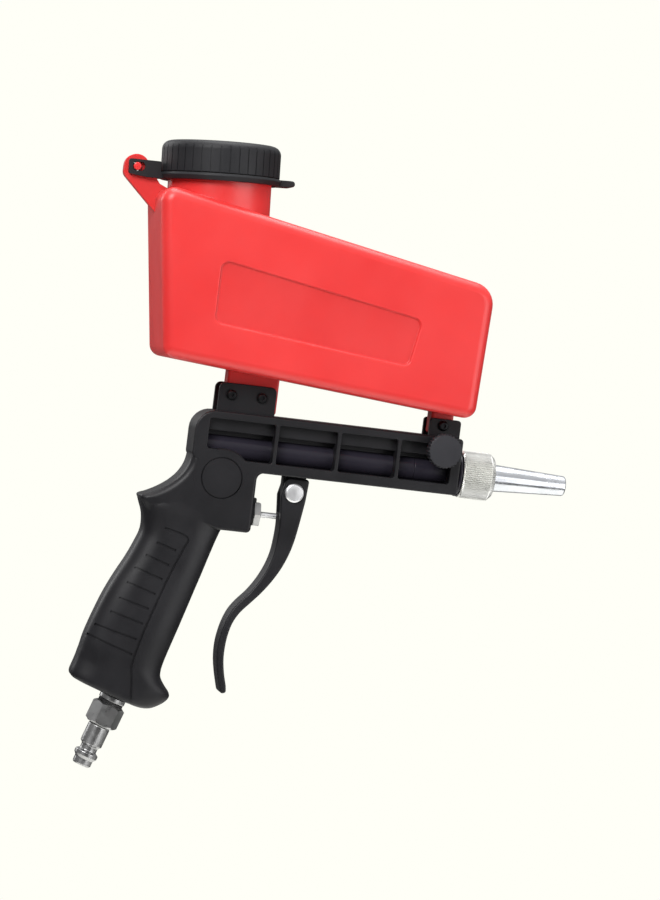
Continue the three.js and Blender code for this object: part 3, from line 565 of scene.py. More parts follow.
# ---------------------------------------------------------------- pistol body
TILT = math.asin(-MOUNTS["air_inlet_face"]["axis"][0])
UP_GRIP = Vector((math.sin(TILT), 0, math.cos(TILT)))
ACROSS_GRIP = Vector((math.cos(TILT), 0, -math.sin(TILT)))
# Sections square to the handle's axis: place up the axis, rear edge, front edge, half width.
GRIP_SECTIONS = [
    (-55.7, -13, 17, 10), (-55.5, -17, 23, 13), (-54.6, -19.6, 27, 14.4), (-52.4, -20.8, 31, 15.2),
    (-47.5, -21, 35.4, 15.4), (-43.2, -21.2, 37.2, 15.4), (-40.4, -21.5, 35.8, 15.5),
    (-37.8, -21.7, 31.8, 15.6), (-34.8, -22.1, 28, 15.7), (-31.5, -22.5, 26.4, 15.8), (-26, -22.8, 25.5, 16),
    (-16, -22.9, 25, 16.4), (-4, -22.6, 24.6, 16.5), (8, -21.4, 24.1, 16.3), (19.5, -19.7, 23.6, 16),
    (30, -18.9, 23.2, 15.6),
    (38, -19.1, 22.8, 15.2), (45.9, -22.3, 22.5, 14.8), (51, -26.4, 22.4, 14.5), (53.4, -28.2, 22.4, 14.4),
    (55, -28, 22.4, 14.3), (57.4, -25.4, 22.4, 14.1), (62, -21, 22, 13.8), (67.5, -16.8, 21, 13.4),
    (73, -13.4, 20, 13), (79, -11.4, 18, 12.4), (85, -10.5, 15, 11.5),
]
# The flatter sided web between the handle and the housing, in the same terms.
SHOULDER_SECTIONS = [
    (45, -19.5, 5, 10.5), (50, -23.8, 6, 12), (53.4, -27.8, 8, 13), (55, -28.7, 9, 13.3),
    (56.6, -27.4, 10, 13.6), (58.6, -24.9, 12, 13.8), (63.7, -20.1, 16, 13.86), (69.7, -15.8, 17, 13.86),
    (76, -12.9, 18, 13.86), (82.6, -11.8, 18, 13.86), (88.6, -12.6, 14, 13.86), (94, -14.5, 8, 13.86),
]
# How far a section's rounded corners reach, as a share of its half sizes.
GRIP_CORNER = 0.66
SHOULDER_CORNER = 0.3


def grip_loft(name, rows, corner, inset=0.0):
    """A rounded oblong ring pulled up the handle's axis through its sections."""
    sections = curve_through([Vector(row) for row in rows], 3)
    bpy.ops.object.select_all(action="DESELECT")
    bpy.ops.mesh.primitive_plane_add(size=2 * MM, location=(0, 0, 0))
    piece = bpy.context.active_object
    piece.name = name
    bpy.ops.object.mode_set(mode="EDIT")
    bpy.ops.mesh.select_mode(type="VERT")
    bpy.ops.mesh.select_all(action="SELECT")
    bpy.ops.mesh.bevel(offset=corner * MM, segments=9, affect="VERTICES", profile=0.5)
    bpy.ops.transform.rotate(value=-TILT, orient_axis="Y", center_override=(0, 0, 0))
    place = Vector((0, 0, 0))
    size = Vector((1, 1))
    along_local = Matrix((ACROSS_GRIP, Y, UP_GRIP)).transposed()
    for i, (up, rear, front, half) in enumerate(sections):
        centre = UP_GRIP * up + ACROSS_GRIP * (rear + front) / 2
        target = Vector(((front - rear) / 2 - inset, half - inset))
        if i:
            bpy.ops.mesh.extrude_region_move(TRANSFORM_OT_translate={"value": (centre - place) * MM})
        else:
            bpy.ops.transform.translate(value=(centre - place) * MM)
        bpy.ops.transform.resize(value=(target.x / size.x, target.y / size.y, 1), orient_matrix=along_local,
                                 orient_type="LOCAL", orient_matrix_type="LOCAL", center_override=centre * MM)
        place = centre
        size = target
    close_up()
    return piece


RIB_PLACES = [64.1, 100.6, 136.2]  # the upright ribs between the windows
RIB = 2.2
WINDOW = {"from": 24.6, "to": 167.7, "bottom": 87.5, "top": 110, "rail": 103}
HOUSING = {"rear": 16.5, "front": 173.8, "bottom": 81.5, "top": 114.5}
BOSS_FRONT = 55.6


def barrel_housing(half, edge):
    """A rounded block with windows cut down to a thin web below and to a thick rail above."""
    piece = plate("gun_shell", rounded([
        (HOUSING["rear"], 88, 4), (24, HOUSING["bottom"]), (HOUSING["front"], HOUSING["bottom"], 1.2),
        (HOUSING["front"], HOUSING["top"], 2.2), (HOUSING["rear"], HOUSING["top"], 12),
    ], 8), -half, half, edge, 4)
    walls = sorted([WINDOW["from"], WINDOW["to"]]
                   + [place + shift for place in RIB_PLACES for shift in (-RIB / 2, RIB / 2)])
    for side in (-1, 1):
        for low, high in zip(walls[::2], walls[1::2]):
            sill = [(low, WINDOW["bottom"], 1.2)]
            if low == WINDOW["from"]:
                sill = [(low, WINDOW["bottom"] + 4.9, 1.6), (low + 5, WINDOW["bottom"] + 5.1),
                        (low + 24, WINDOW["bottom"], 4)]
            window = plate("window", rounded(sill + [
                (high, WINDOW["bottom"], 1.2), (high, WINDOW["top"], 1.2), (low, WINDOW["top"], 1.2),
            ], 4), *sorted((side * 2.5, side * (half + 5))))
            rail = block("rail", (low - 1, -8.5, WINDOW["rail"]), (high + 1, 8.5, WINDOW["top"] + 2), 0.6)
            cut(window, rail)
            cut(piece, window)

    def window_rim(a, b):
        return all(abs(abs(p.y) - half) < 0.01 and WINDOW["from"] - 0.1 < p.x < WINDOW["to"] + 0.1
                   and WINDOW["bottom"] - 0.1 < p.z < WINDOW["top"] + 0.1 for p in (a, b))

    bevel_where(piece, window_rim, 0.5, 3)
    return piece


def build_body(sizes):
    """Housing, shoulder, valve boss, handle, brackets and bores as one moulded body."""
    half = sizes.body_half / MM
    edge = sizes.body_edge / MM
    body = barrel_housing(half, edge)
    shoulder = grip_loft("shoulder", SHOULDER_SECTIONS, SHOULDER_CORNER)
    boss = plate("boss", rounded([
        (18, 86.5), (18, 52), (36, 46.7, 4), (BOSS_FRONT, 46.7, 2.6), (BOSS_FRONT, 81.5, 4.2),
        (BOSS_FRONT + 8, 81.7), (BOSS_FRONT + 8, 86.5),
    ], 6), -half + 0.02, half - 0.02, 1.8, 4)
    collar = turned("collar", [(0, BOSS_FRONT - 1), (7.5, BOSS_FRONT - 1), (7.5, BOSS_FRONT + 1.6),
                               (7.1, BOSS_FRONT + 2), (0, BOSS_FRONT + 2)], X, Vector((0, 0, VALVE_Z)), 48)
    stop = block("stop", (BOSS_FRONT - 2, -3.6, VALVE_Z + 5), (BOSS_FRONT + 3.2, 3.6, VALVE_Z + 9.4), 0.8)
    add(boss, shoulder, collar, stop)
    swell = turned("swell", [(0, -half), (16.2, -half), (16.8, -half + 0.6), (16.8, half - 0.6), (16.2, half),
                             (0, half)], Y, Vector((BADGE_X, 0, BADGE_Z)), 96)
    lug = plate("lug", rounded([(72.6, 84), (72.6, PIVOT_Z - 6.4, 6), (86, PIVOT_Z - 6.4, 6), (86, 84)]),
                -4, 4, 0.5, 2)
    add(body, boss, swell, lug, grip_loft("grip", GRIP_SECTIONS, GRIP_CORNER))
    for name, (low, high, top, corner) in {"rear": (28.4, 61.9, 131, 3.5),
                                           "front": (153.4, 172.1, 124.8, 2)}.items():
        for side in (-1, 1):
            cheek = plate(name, rounded([(low, 110), (high, 110), (high, top, corner), (low, top, corner)]),
                          side * 6.5, side * 9.3, 0.5, 2)
            add(body, cheek)
    sand_boss = turned("sand_boss", [(0, -half - 0.1), (7.6, -half - 0.1), (7.6, half + 0.1), (0, half + 0.1)],
                       Y, Vector((KNOB_X, 0, KNOB_Z)), 48)
    add(body, sand_boss)

    barrel = Vector((0, 0, BARREL_Z))
    cut(body,
        turned("bore", [(0, 21), (7.3, 21), (7.3, 168), (10, 168), (10, 176), (0, 176)], X, barrel, 48),
        turned("valve_bore", [(0, 50), (6.5, 50), (6.5, 60), (0, 60)], X, Vector((0, 0, VALVE_Z)), 32))
    for side in (-1, 1):
        seat = turned("seat", [(0, side * (half - 1)), (12, side * (half - 1)), (12, side * (half + 2)),
                               (0, side * (half + 2))], Y, Vector((BADGE_X, 0, BADGE_Z)), 64)
        cut(body, seat)
        for screw in (*REAR_SCREWS, FRONT_SCREW):
            sink = turned("sink", [(0, side * 6), (2.2, side * 6), (2.2, side * 12), (0, side * 12)], Y,
                          Vector((screw.x, 0, screw.z)), 32)
            cut(body, sink)
    cut(body, grip_grooves(sizes))
    return finish_piece(body, MATERIALS["black"], "gun", "body_black", "gun_body", angle=40)


def strip(name, line, width):
    """A thin wall along a line in X and Z, right through the handle."""
    points = [Vector(p) for p in line]
    left, right = [], []
    for i, here in enumerate(points):
        ahead = points[min(i + 1, len(points) - 1)] - points[max(i - 1, 0)]
        normal = Vector((-ahead.y, ahead.x)).normalized() * width / 2
        left.append(here + normal)
        right.append(here - normal)
    return plate(name, left + right[::-1], -25, 25)


def grip_grooves(sizes):
    """Eight slanting grooves behind one long groove, as deep as the handle's skin."""
    width = sizes.groove_width / MM
    long_line = curve_through([(6, 44.5), (19.4, 40.4), (17.6, 33), (11.6, 18), (4.6, -3), (0.2, -17.5),
                               (-3.6, -35), (-2.8, -43), (-1.2, -62)], 4)
    strips = [strip("long_groove", long_line, width)]
    starts = [(13.8, 32.3), (10.8, 23.5), (7.9, 15.2), (4.9, 6.4), (2.2, -2.3), (-0.2, -11.1), (-2.6, -20.4),
              (-4.1, -29.2)]
    ends = [(2.4, 35.8), (-3, 28.1), (-8.4, 20.3), (-11.8, 11.5), (-15.3, 2.3), (-19.2, -6), (-27, -14.4),
            (-30.4, -20.5)]
    for start, end in zip(starts, ends):
        strips.append(strip("groove", [start, end], width))
    grooves = strips[0]
    add(grooves, *strips[1:])
    return cut(grooves, grip_loft("grip_core", GRIP_SECTIONS, GRIP_CORNER, sizes.groove / MM))


def build_badges(sizes):
    """The blank discs set into both sides of the body."""
    face = sizes.body_half / MM + 0.1
    for name, side in (("badge_disc_right", -1), ("badge_disc_left", 1)):
        profile = [(0, face - 0.9), (11.55, face - 0.9), (11.55, face - 0.35), (11.2, face), (9.6, face + 0.02),
                   (0, face + 0.05)]
        disc = turned(name, [(r, side * y) for r, y in profile], Y, Vector((BADGE_X, 0, BADGE_Z)), 96)
        node = "badge_right" if side < 0 else "badge_left"
        finish_piece(disc, MATERIALS["black"], "gun", "body_black", node)


# ---------------------------------------------------------------- barrel
NUT_TEETH = 72
VALLEY = 0.945  # radius at the bottom of a tooth, as a share of the nut's


def build_barrel():
    """Air pipe, mixing pipe, front collar, nozzle and knurled nut, all on the barrel's axis."""
    barrel = Vector((0, 0, BARREL_Z))
    tube = turned("air_pipe", rounded([(4.5, 21.6, 0.3), (7, 21.6, 0.5), (7, 148.26, 0.4), (4.5, 148.26)], 3),
                  X, barrel, 72, tube=True)
    finish_piece(tube, MATERIALS["gloss"], "gun", "tube_black", "air_tube")
    mixer = turned("mixing_pipe", rounded([(4.6, 148.3), (7, 148.3, 0.4), (7, 168, 0.5), (4.6, 168, 0.3)], 3),
                   X, barrel, 72, tube=True)
    hole = turned("hole", [(0, 0), (3.4, 0), (3.4, 12), (0, 12)], Z, Vector((KNOB_X, 0, BARREL_Z)), 32)
    cut(mixer, hole)
    finish_piece(mixer, MATERIALS["gloss"], "gun", "tube_black", "mixing_tube")

    bush = turned("front_collar", rounded([
        (7.3, 168.3), (9.7, 168.3, 0.4), (9.7, 174.1), (13.1, 174.1, 0.7), (13.1, 176, 0.7), (10.2, 176),
        (10.2, 188, 0.6), (7.3, 188),
    ], 4), X, barrel, 96, tube=True)
    finish_piece(bush, MATERIALS["gloss"], "gun", "body_black", "front_bush")

    nozzle = turned("blast_nozzle", rounded([
        (5.8, 168.6), (7, 168.6, 0.3), (7, 189.6), (10.1, 189.6, 0.3), (10.1, 191.4, 0.3), (8.2, 191.4),
        (5.8, 240.6, 1.3), (3.3, 240.6, 0.5), (3.2, 190.6),
    ], 6), X, barrel, 128, tube=True)
    finish_piece(nozzle, MATERIALS["nozzle"], "gun", "nozzle_steel", "nozzle")

    nut = turned("knurled_nut", rounded([
        (10.5, 176.4), (13.2, 176.4, 0.3), (14, 177.4, 0.5), (14, 193.4, 1), (11.8, 196, 0.8), (8.7, 196, 0.3),
        (8.7, 191.8), (10.5, 191.8),
    ], 4), X, barrel, 2 * NUT_TEETH, tube=True)
    only(nut)
    bpy.ops.object.mode_set(mode="EDIT")
    bpy.ops.mesh.select_mode(type="VERT")
    bpy.ops.mesh.select_all(action="DESELECT")
    bpy.ops.object.mode_set(mode="OBJECT")
    for vertex in nut.data.vertices:
        off = vertex.co / MM - barrel
        column = round(math.atan2(off.z, off.y) / math.pi * NUT_TEETH)
        vertex.select = math.hypot(off.y, off.z) > 13.5 and column % 2 == 1
    bpy.ops.object.mode_set(mode="EDIT")
    bpy.ops.transform.resize(value=(1, VALLEY, VALLEY), center_override=barrel * MM)
    bpy.ops.object.mode_set(mode="OBJECT")
    finish_piece(nut, MATERIALS["nut"], "nozzle_nut", "nut_aluminium", "nozzle_nut", angle=25)


# ---------------------------------------------------------------- sand valve
SCALLOPS = 30


def build_sand_valve():
    """The scalloped knob and the clip at the far end of its spindle."""
    centre = Vector((KNOB_X, 0, KNOB_Z))
    knob = turned("valve_knob", rounded([
        (0, -24), (9, -24.05, 0.4), (10, -23.4, 0.5), (10, -17.6, 0.5), (9.2, -17, 0.4), (7.2, -17, 0.5),
        (7, -13.9, 0.4), (4.3, -13.9), (4.3, -15.3), (3.3, -15.3), (3.3, -23.2), (0, -23.2),
    ], 3, closed=False), Y, centre, 120)
    scallop = turned("scallop", [(0, -26), (0.85, -26), (0.85, -16.4), (0, -16.4)], Y, centre + X * 10.12, 12)
    cut(knob, around(scallop, SCALLOPS, Y, centre))
    finish_piece(knob, MATERIALS["knob"], "sand_valve", "knob_black", "sand_knob", angle=30)
    ring = rounded([(3.5, 14.1, 0.2), (6, 14.1, 0.2), (6, 15.1, 0.2), (3.5, 15.1, 0.2)], 2)
    clip = turned("valve_clip", ring, Y, centre, 48, tube=True)
    slot = block("slot", (centre.x - 1.2, 13, centre.z - 8), (centre.x + 1.2, 16, centre.z))
    cut(clip, slot)
    finish_piece(clip, MATERIALS["silver"], "sand_valve", "pin_silver", "spindle_clip")


# ---------------------------------------------------------------- lid
LID_RIBS = 40


def build_lid(sizes):
    """The ribbed screw lid, its hoop with the tab and two arms, and the hinge pin."""
    radius = sizes.cap_radius / MM
    curve = sizes.cap_round / MM
    cap = turned("screw_lid", rounded([
        (0, 20), (26.4, 20, 1), (27.4, 22.5, 0.8), (radius, 22.6, curve), (radius, 4.3, 0.5), (31.7, 4.3),
        (31.7, 0.5, 0.3), (30.5, 0.5), (30.5, 16.5, 0.6), (0, 16.5),
    ], 8, closed=False), LID_AXIS, LID_FOOT, 144)
    side = ACROSS_LID
    groove = block("groove", (-0.4, -0.35, -9), (0.4, 0.35, 9))
    only(groove)
    bpy.ops.object.mode_set(mode="EDIT")
    bpy.ops.mesh.select_all(action="SELECT")
    bpy.ops.transform.rotate(value=-math.atan2(LID_AXIS.x, LID_AXIS.z), orient_axis="Y",
                             center_override=(0, 0, 0))
    bpy.ops.transform.translate(value=(LID_FOOT + side * radius + LID_AXIS * 11.2) * MM)
    bpy.ops.object.mode_set(mode="OBJECT")
    cut(cap, around(groove, LID_RIBS, LID_AXIS, LID_FOOT))
    finish_piece(cap, MATERIALS["lid"], "cap", "lid_black", "filler_cap", angle=30)

    ring = turned("lid_hoop", rounded([
        (32, 0, 0.3), (34.2, 0, 0.8), (35.2, 2.6, 0.6), (34.4, 4, 0.4), (32, 4, 0.3),
    ], 4), LID_AXIS, LID_FOOT, 128, tube=True)
    tab = lid_plate("tab", rounded([(33, 0.2), (33, 3.8), (42.3, 3.8, 1.7), (42.3, 0.2, 1.7)], 4), -9, 9)
    bevel_where(tab, lambda a, b: a.x > 55 and b.x > 55 and abs(a.y - b.y) < 0.01 and abs(a.y) > 8.9, 1.2, 3)
    pin = Vector((LUG_X, 0, LUG_Z)) - LID_FOOT
    pin_x, pin_z = pin.dot(side), pin.dot(LID_AXIS)
    add(ring, tab)
    for arm_side in (-1, 1):
        arm = lid_plate("arm", rounded([
            (pin_x - 4.8, pin_z - 4.2, 1.2), (pin_x + 6, 0.2, 5), (-31, 0.2), (-31, 3.8), (-35, 3.8),
            (-35, pin_z + 3.6, 0.8), (pin_x - 4.8, pin_z + 4.2, 1.2),
        ], 4), arm_side * 3.6, arm_side * 6.6)
        add(ring, arm)
    slot = lid_plate("slot", rounded([
        (pin_x - 2.6, pin_z - 2.6, 2.3), (pin_x + 4.4, pin_z - 2.6, 2.3), (pin_x + 4.4, pin_z + 2.6, 2.3),
        (pin_x - 2.6, pin_z + 2.6, 2.3)], 6), -10, 10)
    mouth = turned("mouth", [(0, -5), (32, -5), (32, 10), (0, 10)], LID_AXIS, LID_FOOT, 128)
    cut(ring, slot, mouth)
    finish_piece(ring, MATERIALS["lid"], "lid", "lid_black", "lid_ring")

    pin_piece = turned("hinge_pin", rounded([
        (0, -7.2), (2.2, -7.2, 0.5), (2.2, 7.2, 0.5), (0, 7.2),
    ], 4, closed=False), Y, Vector((LUG_X, 0, LUG_Z)), 40)
    finish_piece(pin_piece, MATERIALS["red"], "gun", "hopper_red", "lid_pin")


ACROSS_LID = Y.cross(LID_AXIS).normalized()


def lid_plate(name, outline, low, high):
    """A plate whose outline lies in the lid's own tilted frame."""
    piece = trace(name, [LID_FOOT + ACROSS_LID * p[0] + LID_AXIS * p[1] + Y * low for p in outline])
    bpy.ops.mesh.select_all(action="SELECT")
    bpy.ops.mesh.edge_face_add()
    bpy.ops.mesh.extrude_region_move(TRANSFORM_OT_translate={"value": (0, (high - low) * MM, 0)})
    close_up()
    return piece


# ---------------------------------------------------------------- trigger
def build_trigger(sizes):
    """The curved lever, its pivot pin and the clip that holds the pin."""
    half = sizes.trigger_half / MM
    rear = curve_through([(71.8, 70), (72.6, 60), (73, 52), (72.6, 44), (71.6, 36), (69.2, 28), (65.4, 20),
                          (60.3, 12.4), (54.9, 6.3), (50.8, 0.4), (48, -6.7), (46.2, -14.6), (45.6, -21.6),
                          (46, -29), (47.4, -36.5), (49.2, -43.5)], 3)
    front = curve_through([(53.2, -42.6), (51.2, -35), (50, -26.5), (50.2, -18), (51.3, -11), (53.2, -5.1),
                           (56.6, 0.6), (61.4, 6), (67.2, 12.6), (72.6, 20), (77.2, 28), (80.6, 36.3),
                           (82.8, 44.3), (84.2, 52.2), (85.4, 60.2), (86.5, 68.1)], 3)
    tip = rounded([(49.2, -43.5), (50.4, -47.6, 1.7), (53.8, -46.8, 1.5), (53.2, -42.6)], 4, closed=False)
    head = rounded([(86.5, 68.1), (87.4, 80.6, 1.6), (74.2, 80.6, 2), (71.8, 70)], 4, closed=False)
    blade = plate("trigger_lever", rear + tip[1:-1] + front + head[1:-1], -half, half, 1.2, 3)
    slot = block("slot", (66, -4.3, PIVOT_Z - 12.5), (94, 4.3, 90))
    hole = turned("hole", [(0, -12), (3.3, -12), (3.3, 12), (0, 12)], Y, Vector((PIVOT_X, 0, PIVOT_Z)), 32)
    cut(blade, slot, hole)
    finish_piece(blade, MATERIALS["black"], "trigger", "body_black", "trigger")

    pivot = Vector((PIVOT_X, 0, PIVOT_Z))
    outer = half + 0.3
    pin = turned("pivot_pin", rounded([
        (0, -outer - 1.75), (4.6, -outer - 1.6, 0.5), (5.5, -outer - 0.9, 0.4), (5.5, -outer, 0.2), (3, -outer),
        (3, outer + 0.2), (2.3, outer + 0.2), (2.3, outer + 1.6), (3, outer + 1.6, 0.1), (3, outer + 2.4, 0.4),
        (0, outer + 2.4),
    ], 4, closed=False), Y, pivot, 64)
    finish_piece(pin, MATERIALS["silver"], "gun", "pin_silver", "trigger_pin")
    clip = turned("pivot_clip", rounded([(2.6, half + 0.7, 0.2), (5, half + 0.7, 0.2), (5, half + 1.7, 0.2),
                                         (2.6, half + 1.7, 0.2)], 2), Y, pivot, 48, tube=True)
    gap = block("gap", (PIVOT_X - 1.2, half, PIVOT_Z - 6), (PIVOT_X + 1.2, half + 3, PIVOT_Z))
    cut(clip, gap)
    finish_piece(clip, MATERIALS["silver"], "gun", "pin_silver", "trigger_clip")


# ---------------------------------------------------------------- air valve and inlet
def hexagon(name, across, low, high, axis, centre, turn=0.0):
    """A hexagonal bar along the axis, a circle of six pulled to its length."""
    side = Y if abs(axis.y) < 0.9 else X
    other = axis.cross(side)
    points = []
    for i in range(6):
        angle = math.radians(60 * i) + turn
        points.append(centre + axis * low + (side * math.cos(angle) + other * math.sin(angle)) * across)
    piece = trace(name, points)
    bpy.ops.mesh.select_all(action="SELECT")
    bpy.ops.mesh.edge_face_add()
    bpy.ops.mesh.extrude_region_move(TRANSFORM_OT_translate={"value": axis * (high - low) * MM})
    close_up()
    return piece


def build_valve():
    """The packing nut in the boss and the stem that the trigger pushes."""
    line = Vector((0, 0, VALVE_Z))
    nut = hexagon("packing_nut", 7.6, 57.9, 61.5, X, line)
    crown = turned("crown", [(0, 57), (7.8, 57), (7.8, 60.9), (6.9, 61.6), (0, 61.6)], X, line, 48)
    combine(nut, "INTERSECT", crown)
    shank = turned("shank", [(0, 50), (6.2, 50), (6.2, 58.2), (0, 58.2)], X, line, 48)
    bore = turned("bore", [(0, 45), (2, 45), (2, 65), (0, 65)], X, line, 32)
    add(nut, shank)
    cut(nut, bore)
    soften(nut, 0.15, 2, 30)
    finish_piece(nut, MATERIALS["steel"], "gun", "valve_brass", "valve_nut")

    stem = turned("push_stem", rounded([
        (0, 30), (4.2, 30, 0.3), (4.2, 33.1, 0.5), (1.7, 33.1, 0.3), (1.7, 71.4, 0.5), (1.2, 72.2, 0.3),
        (0, 72.2),
    ], 3, closed=False), X, line, 40)
    finish_piece(stem, MATERIALS["silver"], "valve_stem", "pin_silver", "valve_stem")


def build_inlet():
    """The bush under the handle, the hexagon adapter and the hose plug."""
    axis, top = INLET_AXIS, INLET_TOP
    nipple = turned("inlet_bush", rounded([
        (3, -11), (4.8, -11, 0.4), (4.8, -3.3), (7.8, -3.3, 0.6), (7.8, -0.3, 0.5), (5.6, -0.3),
        (5.6, 17.8, 0.4), (3, 17.8),
    ], 4), axis, top, 72, tube=True)
    finish_piece(nipple, MATERIALS["steel"], "gun", "inlet_steel", "inlet_nipple")

    adapter = hexagon("hex_body", 9.8, -18.3, -5, axis, top, math.radians(30))
    crown = turned("crown", [(0, -18.3), (7.7, -18.3), (9.9, -16.8), (9.9, -6.5), (7.7, -5), (0, -5)],
                   axis, top, 96)
    combine(adapter, "INTERSECT", crown)
    bore = turned("bore", [(0, -20), (5.1, -20), (5.1, -12.2), (3, -12.2), (3, -11.4), (5.1, -11.4), (5.1, -3),
                           (0, -3)], axis, top, 48)
    cut(adapter, bore)
    finish_piece(adapter, MATERIALS["steel"], "gun", "inlet_steel", "hex_adapter", angle=25)

    plug = turned("hose_plug", rounded([
        (3, -43.5), (4.9, -43.5, 0.3), (5.5, -42.6, 0.3), (5.5, -39.4, 0.8), (6.9, -37.7, 0.3),
        (6.9, -35.6, 0.5),
        (5, -34.4, 0.8), (5, -31.6, 0.8), (6.5, -30.2, 0.5), (6.5, -19.3, 0.4), (5.9, -18.6, 0.2), (4.8, -18.6),
        (4.8, -12.8, 0.4), (3, -12.8),
    ], 4), axis, top, 80, tube=True)
    finish_piece(plug, MATERIALS["steel"], "gun", "inlet_steel", "quick_plug")


# ---------------------------------------------------------------- screws
def build_screws():
    """The socket screws through the brackets, and the nuts of the two long ones."""
    places = [("rear_1", REAR_SCREWS[0], -1, True), ("rear_2", REAR_SCREWS[1], -1, True),
              ("front_right", FRONT_SCREW, -1, False), ("front_left", FRONT_SCREW, 1, False)]
    for name, place, side, through in places:
        centre = Vector((place.x, 0, place.z))
        end = -11.8 if through else 4.8
        screw = turned("screw_" + name, [(r, side * y) for r, y in rounded([
            (0, end), (1.9, end), (1.9, 9.6), (3, 9.6, 0.2), (3, 10.5, 0.8), (2, 11.4, 0.3), (0, 11.4),
        ], 4, closed=False)], Y, centre, 40)
        key = hexagon("key", 1.45, side * 10.2, side * 13, Y, centre)
        cut(screw, key)
        finish_piece(screw, MATERIALS["screw"], "gun", "screw_black", "hopper_screw_" + name)
        if through:
            nut = hexagon("nut_" + name, 3.4, 9.6, 12, Y, centre)
            cut(nut, turned("hole", [(0, 8), (2.05, 8), (2.05, 14), (0, 14)], Y, centre, 32))
            soften(nut, 0.2, 2, 25)
            finish_piece(nut, MATERIALS["screw"], "gun", "screw_black", "hopper_nut_" + name, angle=25)


# ---------------------------------------------------------------- carried-over nodes
CARRIED = {
    "brass": ["air_jet", "valve_seat"],
    "rubber": ["nozzle_seal", "spindle_seal_right", "spindle_seal_left", "spout_seal", "cap_seal", "stem_seal",
               "inlet_seal"],
    "silver": ["sand_spindle", "valve_spring"],
    "gloss": ["grip_air_tube"],
}


def dress_carried():
    """Gives the inner pieces that stay as they are their finishes."""
    for finish, names in CARRIED.items():
        for name in names:
            node = frame["nodes"][name]
            for slot in node.material_slots:
                slot.material = MATERIALS[finish]


# ---------------------------------------------------------------- stage
def look_from(azimuth, elevation, roll):
    """Direction and rotation of a camera that looks at the gun's right side."""
    a, e = math.radians(azimuth), math.radians(elevation)
    ahead = Vector((math.sin(a) * math.cos(e), math.cos(a) * math.cos(e), -math.sin(e)))
    right = Vector((math.cos(a), -math.sin(a), 0))
    up = right.cross(ahead)
    turn = math.radians(roll)
    tilted_right = right * math.cos(turn) + up * math.sin(turn)
    tilted_up = up * math.cos(turn) - right * math.sin(turn)
    rotation = Matrix((tilted_right, tilted_up, -ahead)).transposed()
    return ahead, rotation


# Grey of the room by height, from straight down at 0 to straight up at 1, between the two ends of the ramp.
ROOM_GREYS = ((0.42, 0.14), (0.53, 0.1), (0.64, 0.45))
FLOOR_RADIUS = 0.75
FLOOR_DROP = 0.45


def build_stage(stage):
    """Camera, room light, floor and lamps."""
    ahead, rotation = look_from(stage.azimuth, stage.elevation, stage.roll)
    data = bpy.data.cameras.new("View")
    data.lens = stage.lens
    data.sensor_width = 36
    data.clip_end = 50
    camera = bpy.data.objects.new("View", data)
    bpy.context.scene.collection.objects.link(camera)
    target = Vector(stage.target)
    camera.matrix_world = Matrix.Translation(target - ahead * stage.distance) @ rotation.to_4x4()
    bpy.context.scene.camera = camera

    world = bpy.data.worlds.new("Studio")
    world.use_nodes = True
    nodes, links = world.node_tree.nodes, world.node_tree.links
    room = nodes["Background"]
    room.inputs["Strength"].default_value = stage.sky
    direction = nodes.new("ShaderNodeTexCoord")
    height = nodes.new("ShaderNodeSeparateXYZ")
    level = nodes.new("ShaderNodeMapRange")
    level.inputs["From Min"].default_value = -1
    shades = nodes.new("ShaderNodeValToRGB")
    shades.color_ramp.elements[0].color = (0.2, 0.2, 0.2, 1)
    shades.color_ramp.elements[1].color = (1, 1, 1, 1)
    for position, grey in ROOM_GREYS:
        shades.color_ramp.elements.new(position).color = (grey, grey, grey, 1)
    links.new(direction.outputs["Generated"], height.inputs["Vector"])
    links.new(height.outputs["Z"], level.inputs["Value"])
    links.new(level.outputs["Result"], shades.inputs["Fac"])
    links.new(shades.outputs["Color"], room.inputs["Color"])
    backdrop = nodes.new("ShaderNodeBackground")
    backdrop.inputs["Color"].default_value = (1.0, 1.0, 0.93, 1)
    path = nodes.new("ShaderNodeLightPath")
    mix = nodes.new("ShaderNodeMixShader")
    links.new(path.outputs["Is Camera Ray"], mix.inputs["Fac"])
    links.new(room.outputs["Background"], mix.inputs[1])
    links.new(backdrop.outputs["Background"], mix.inputs[2])
    links.new(mix.outputs["Shader"], nodes["World Output"].inputs["Surface"])
    bpy.context.scene.world = world
    bpy.context.scene.view_settings.view_transform = "Standard"

    bpy.ops.object.select_all(action="DESELECT")
    bpy.ops.mesh.primitive_circle_add(vertices=96, radius=FLOOR_RADIUS, fill_type="NGON",
                                      location=(target.x, 0, CAD_BOX[0][2] - FLOOR_DROP))
    floor = bpy.context.active_object
    floor.name = "Floor"
    material, shader, place = new_material("Pale floor", (0.9, 0.9, 0.86), 0.9)
    vary_roughness(material, shader, noise(material, place, 3), 0.85, 0.95)
    floor.data.materials.append(material)

    lamps = [("Key", (-0.9, -1.5, 1.2), 1.0, stage.key), ("Fill", (1.5, -1.4, 0.1), 1.6, stage.fill),
             ("Top", (0.1, 0.1, 1.6), 1.2, stage.top), ("Rim", (-1.2, 1.4, 0.8), 1.2, stage.rim)]
    for name, place, size, power in lamps:
        light = bpy.data.lights.new(name, "AREA")
        light.shape = "SQUARE"
        light.size = size
        light.energy = power
        lamp = bpy.data.objects.new(name, light)
        bpy.context.scene.collection.objects.link(lamp)
        position = Vector(place)
        lamp.location = position
        lamp.rotation_euler = (target - position).to_track_quat("-Z", "Y").to_euler()


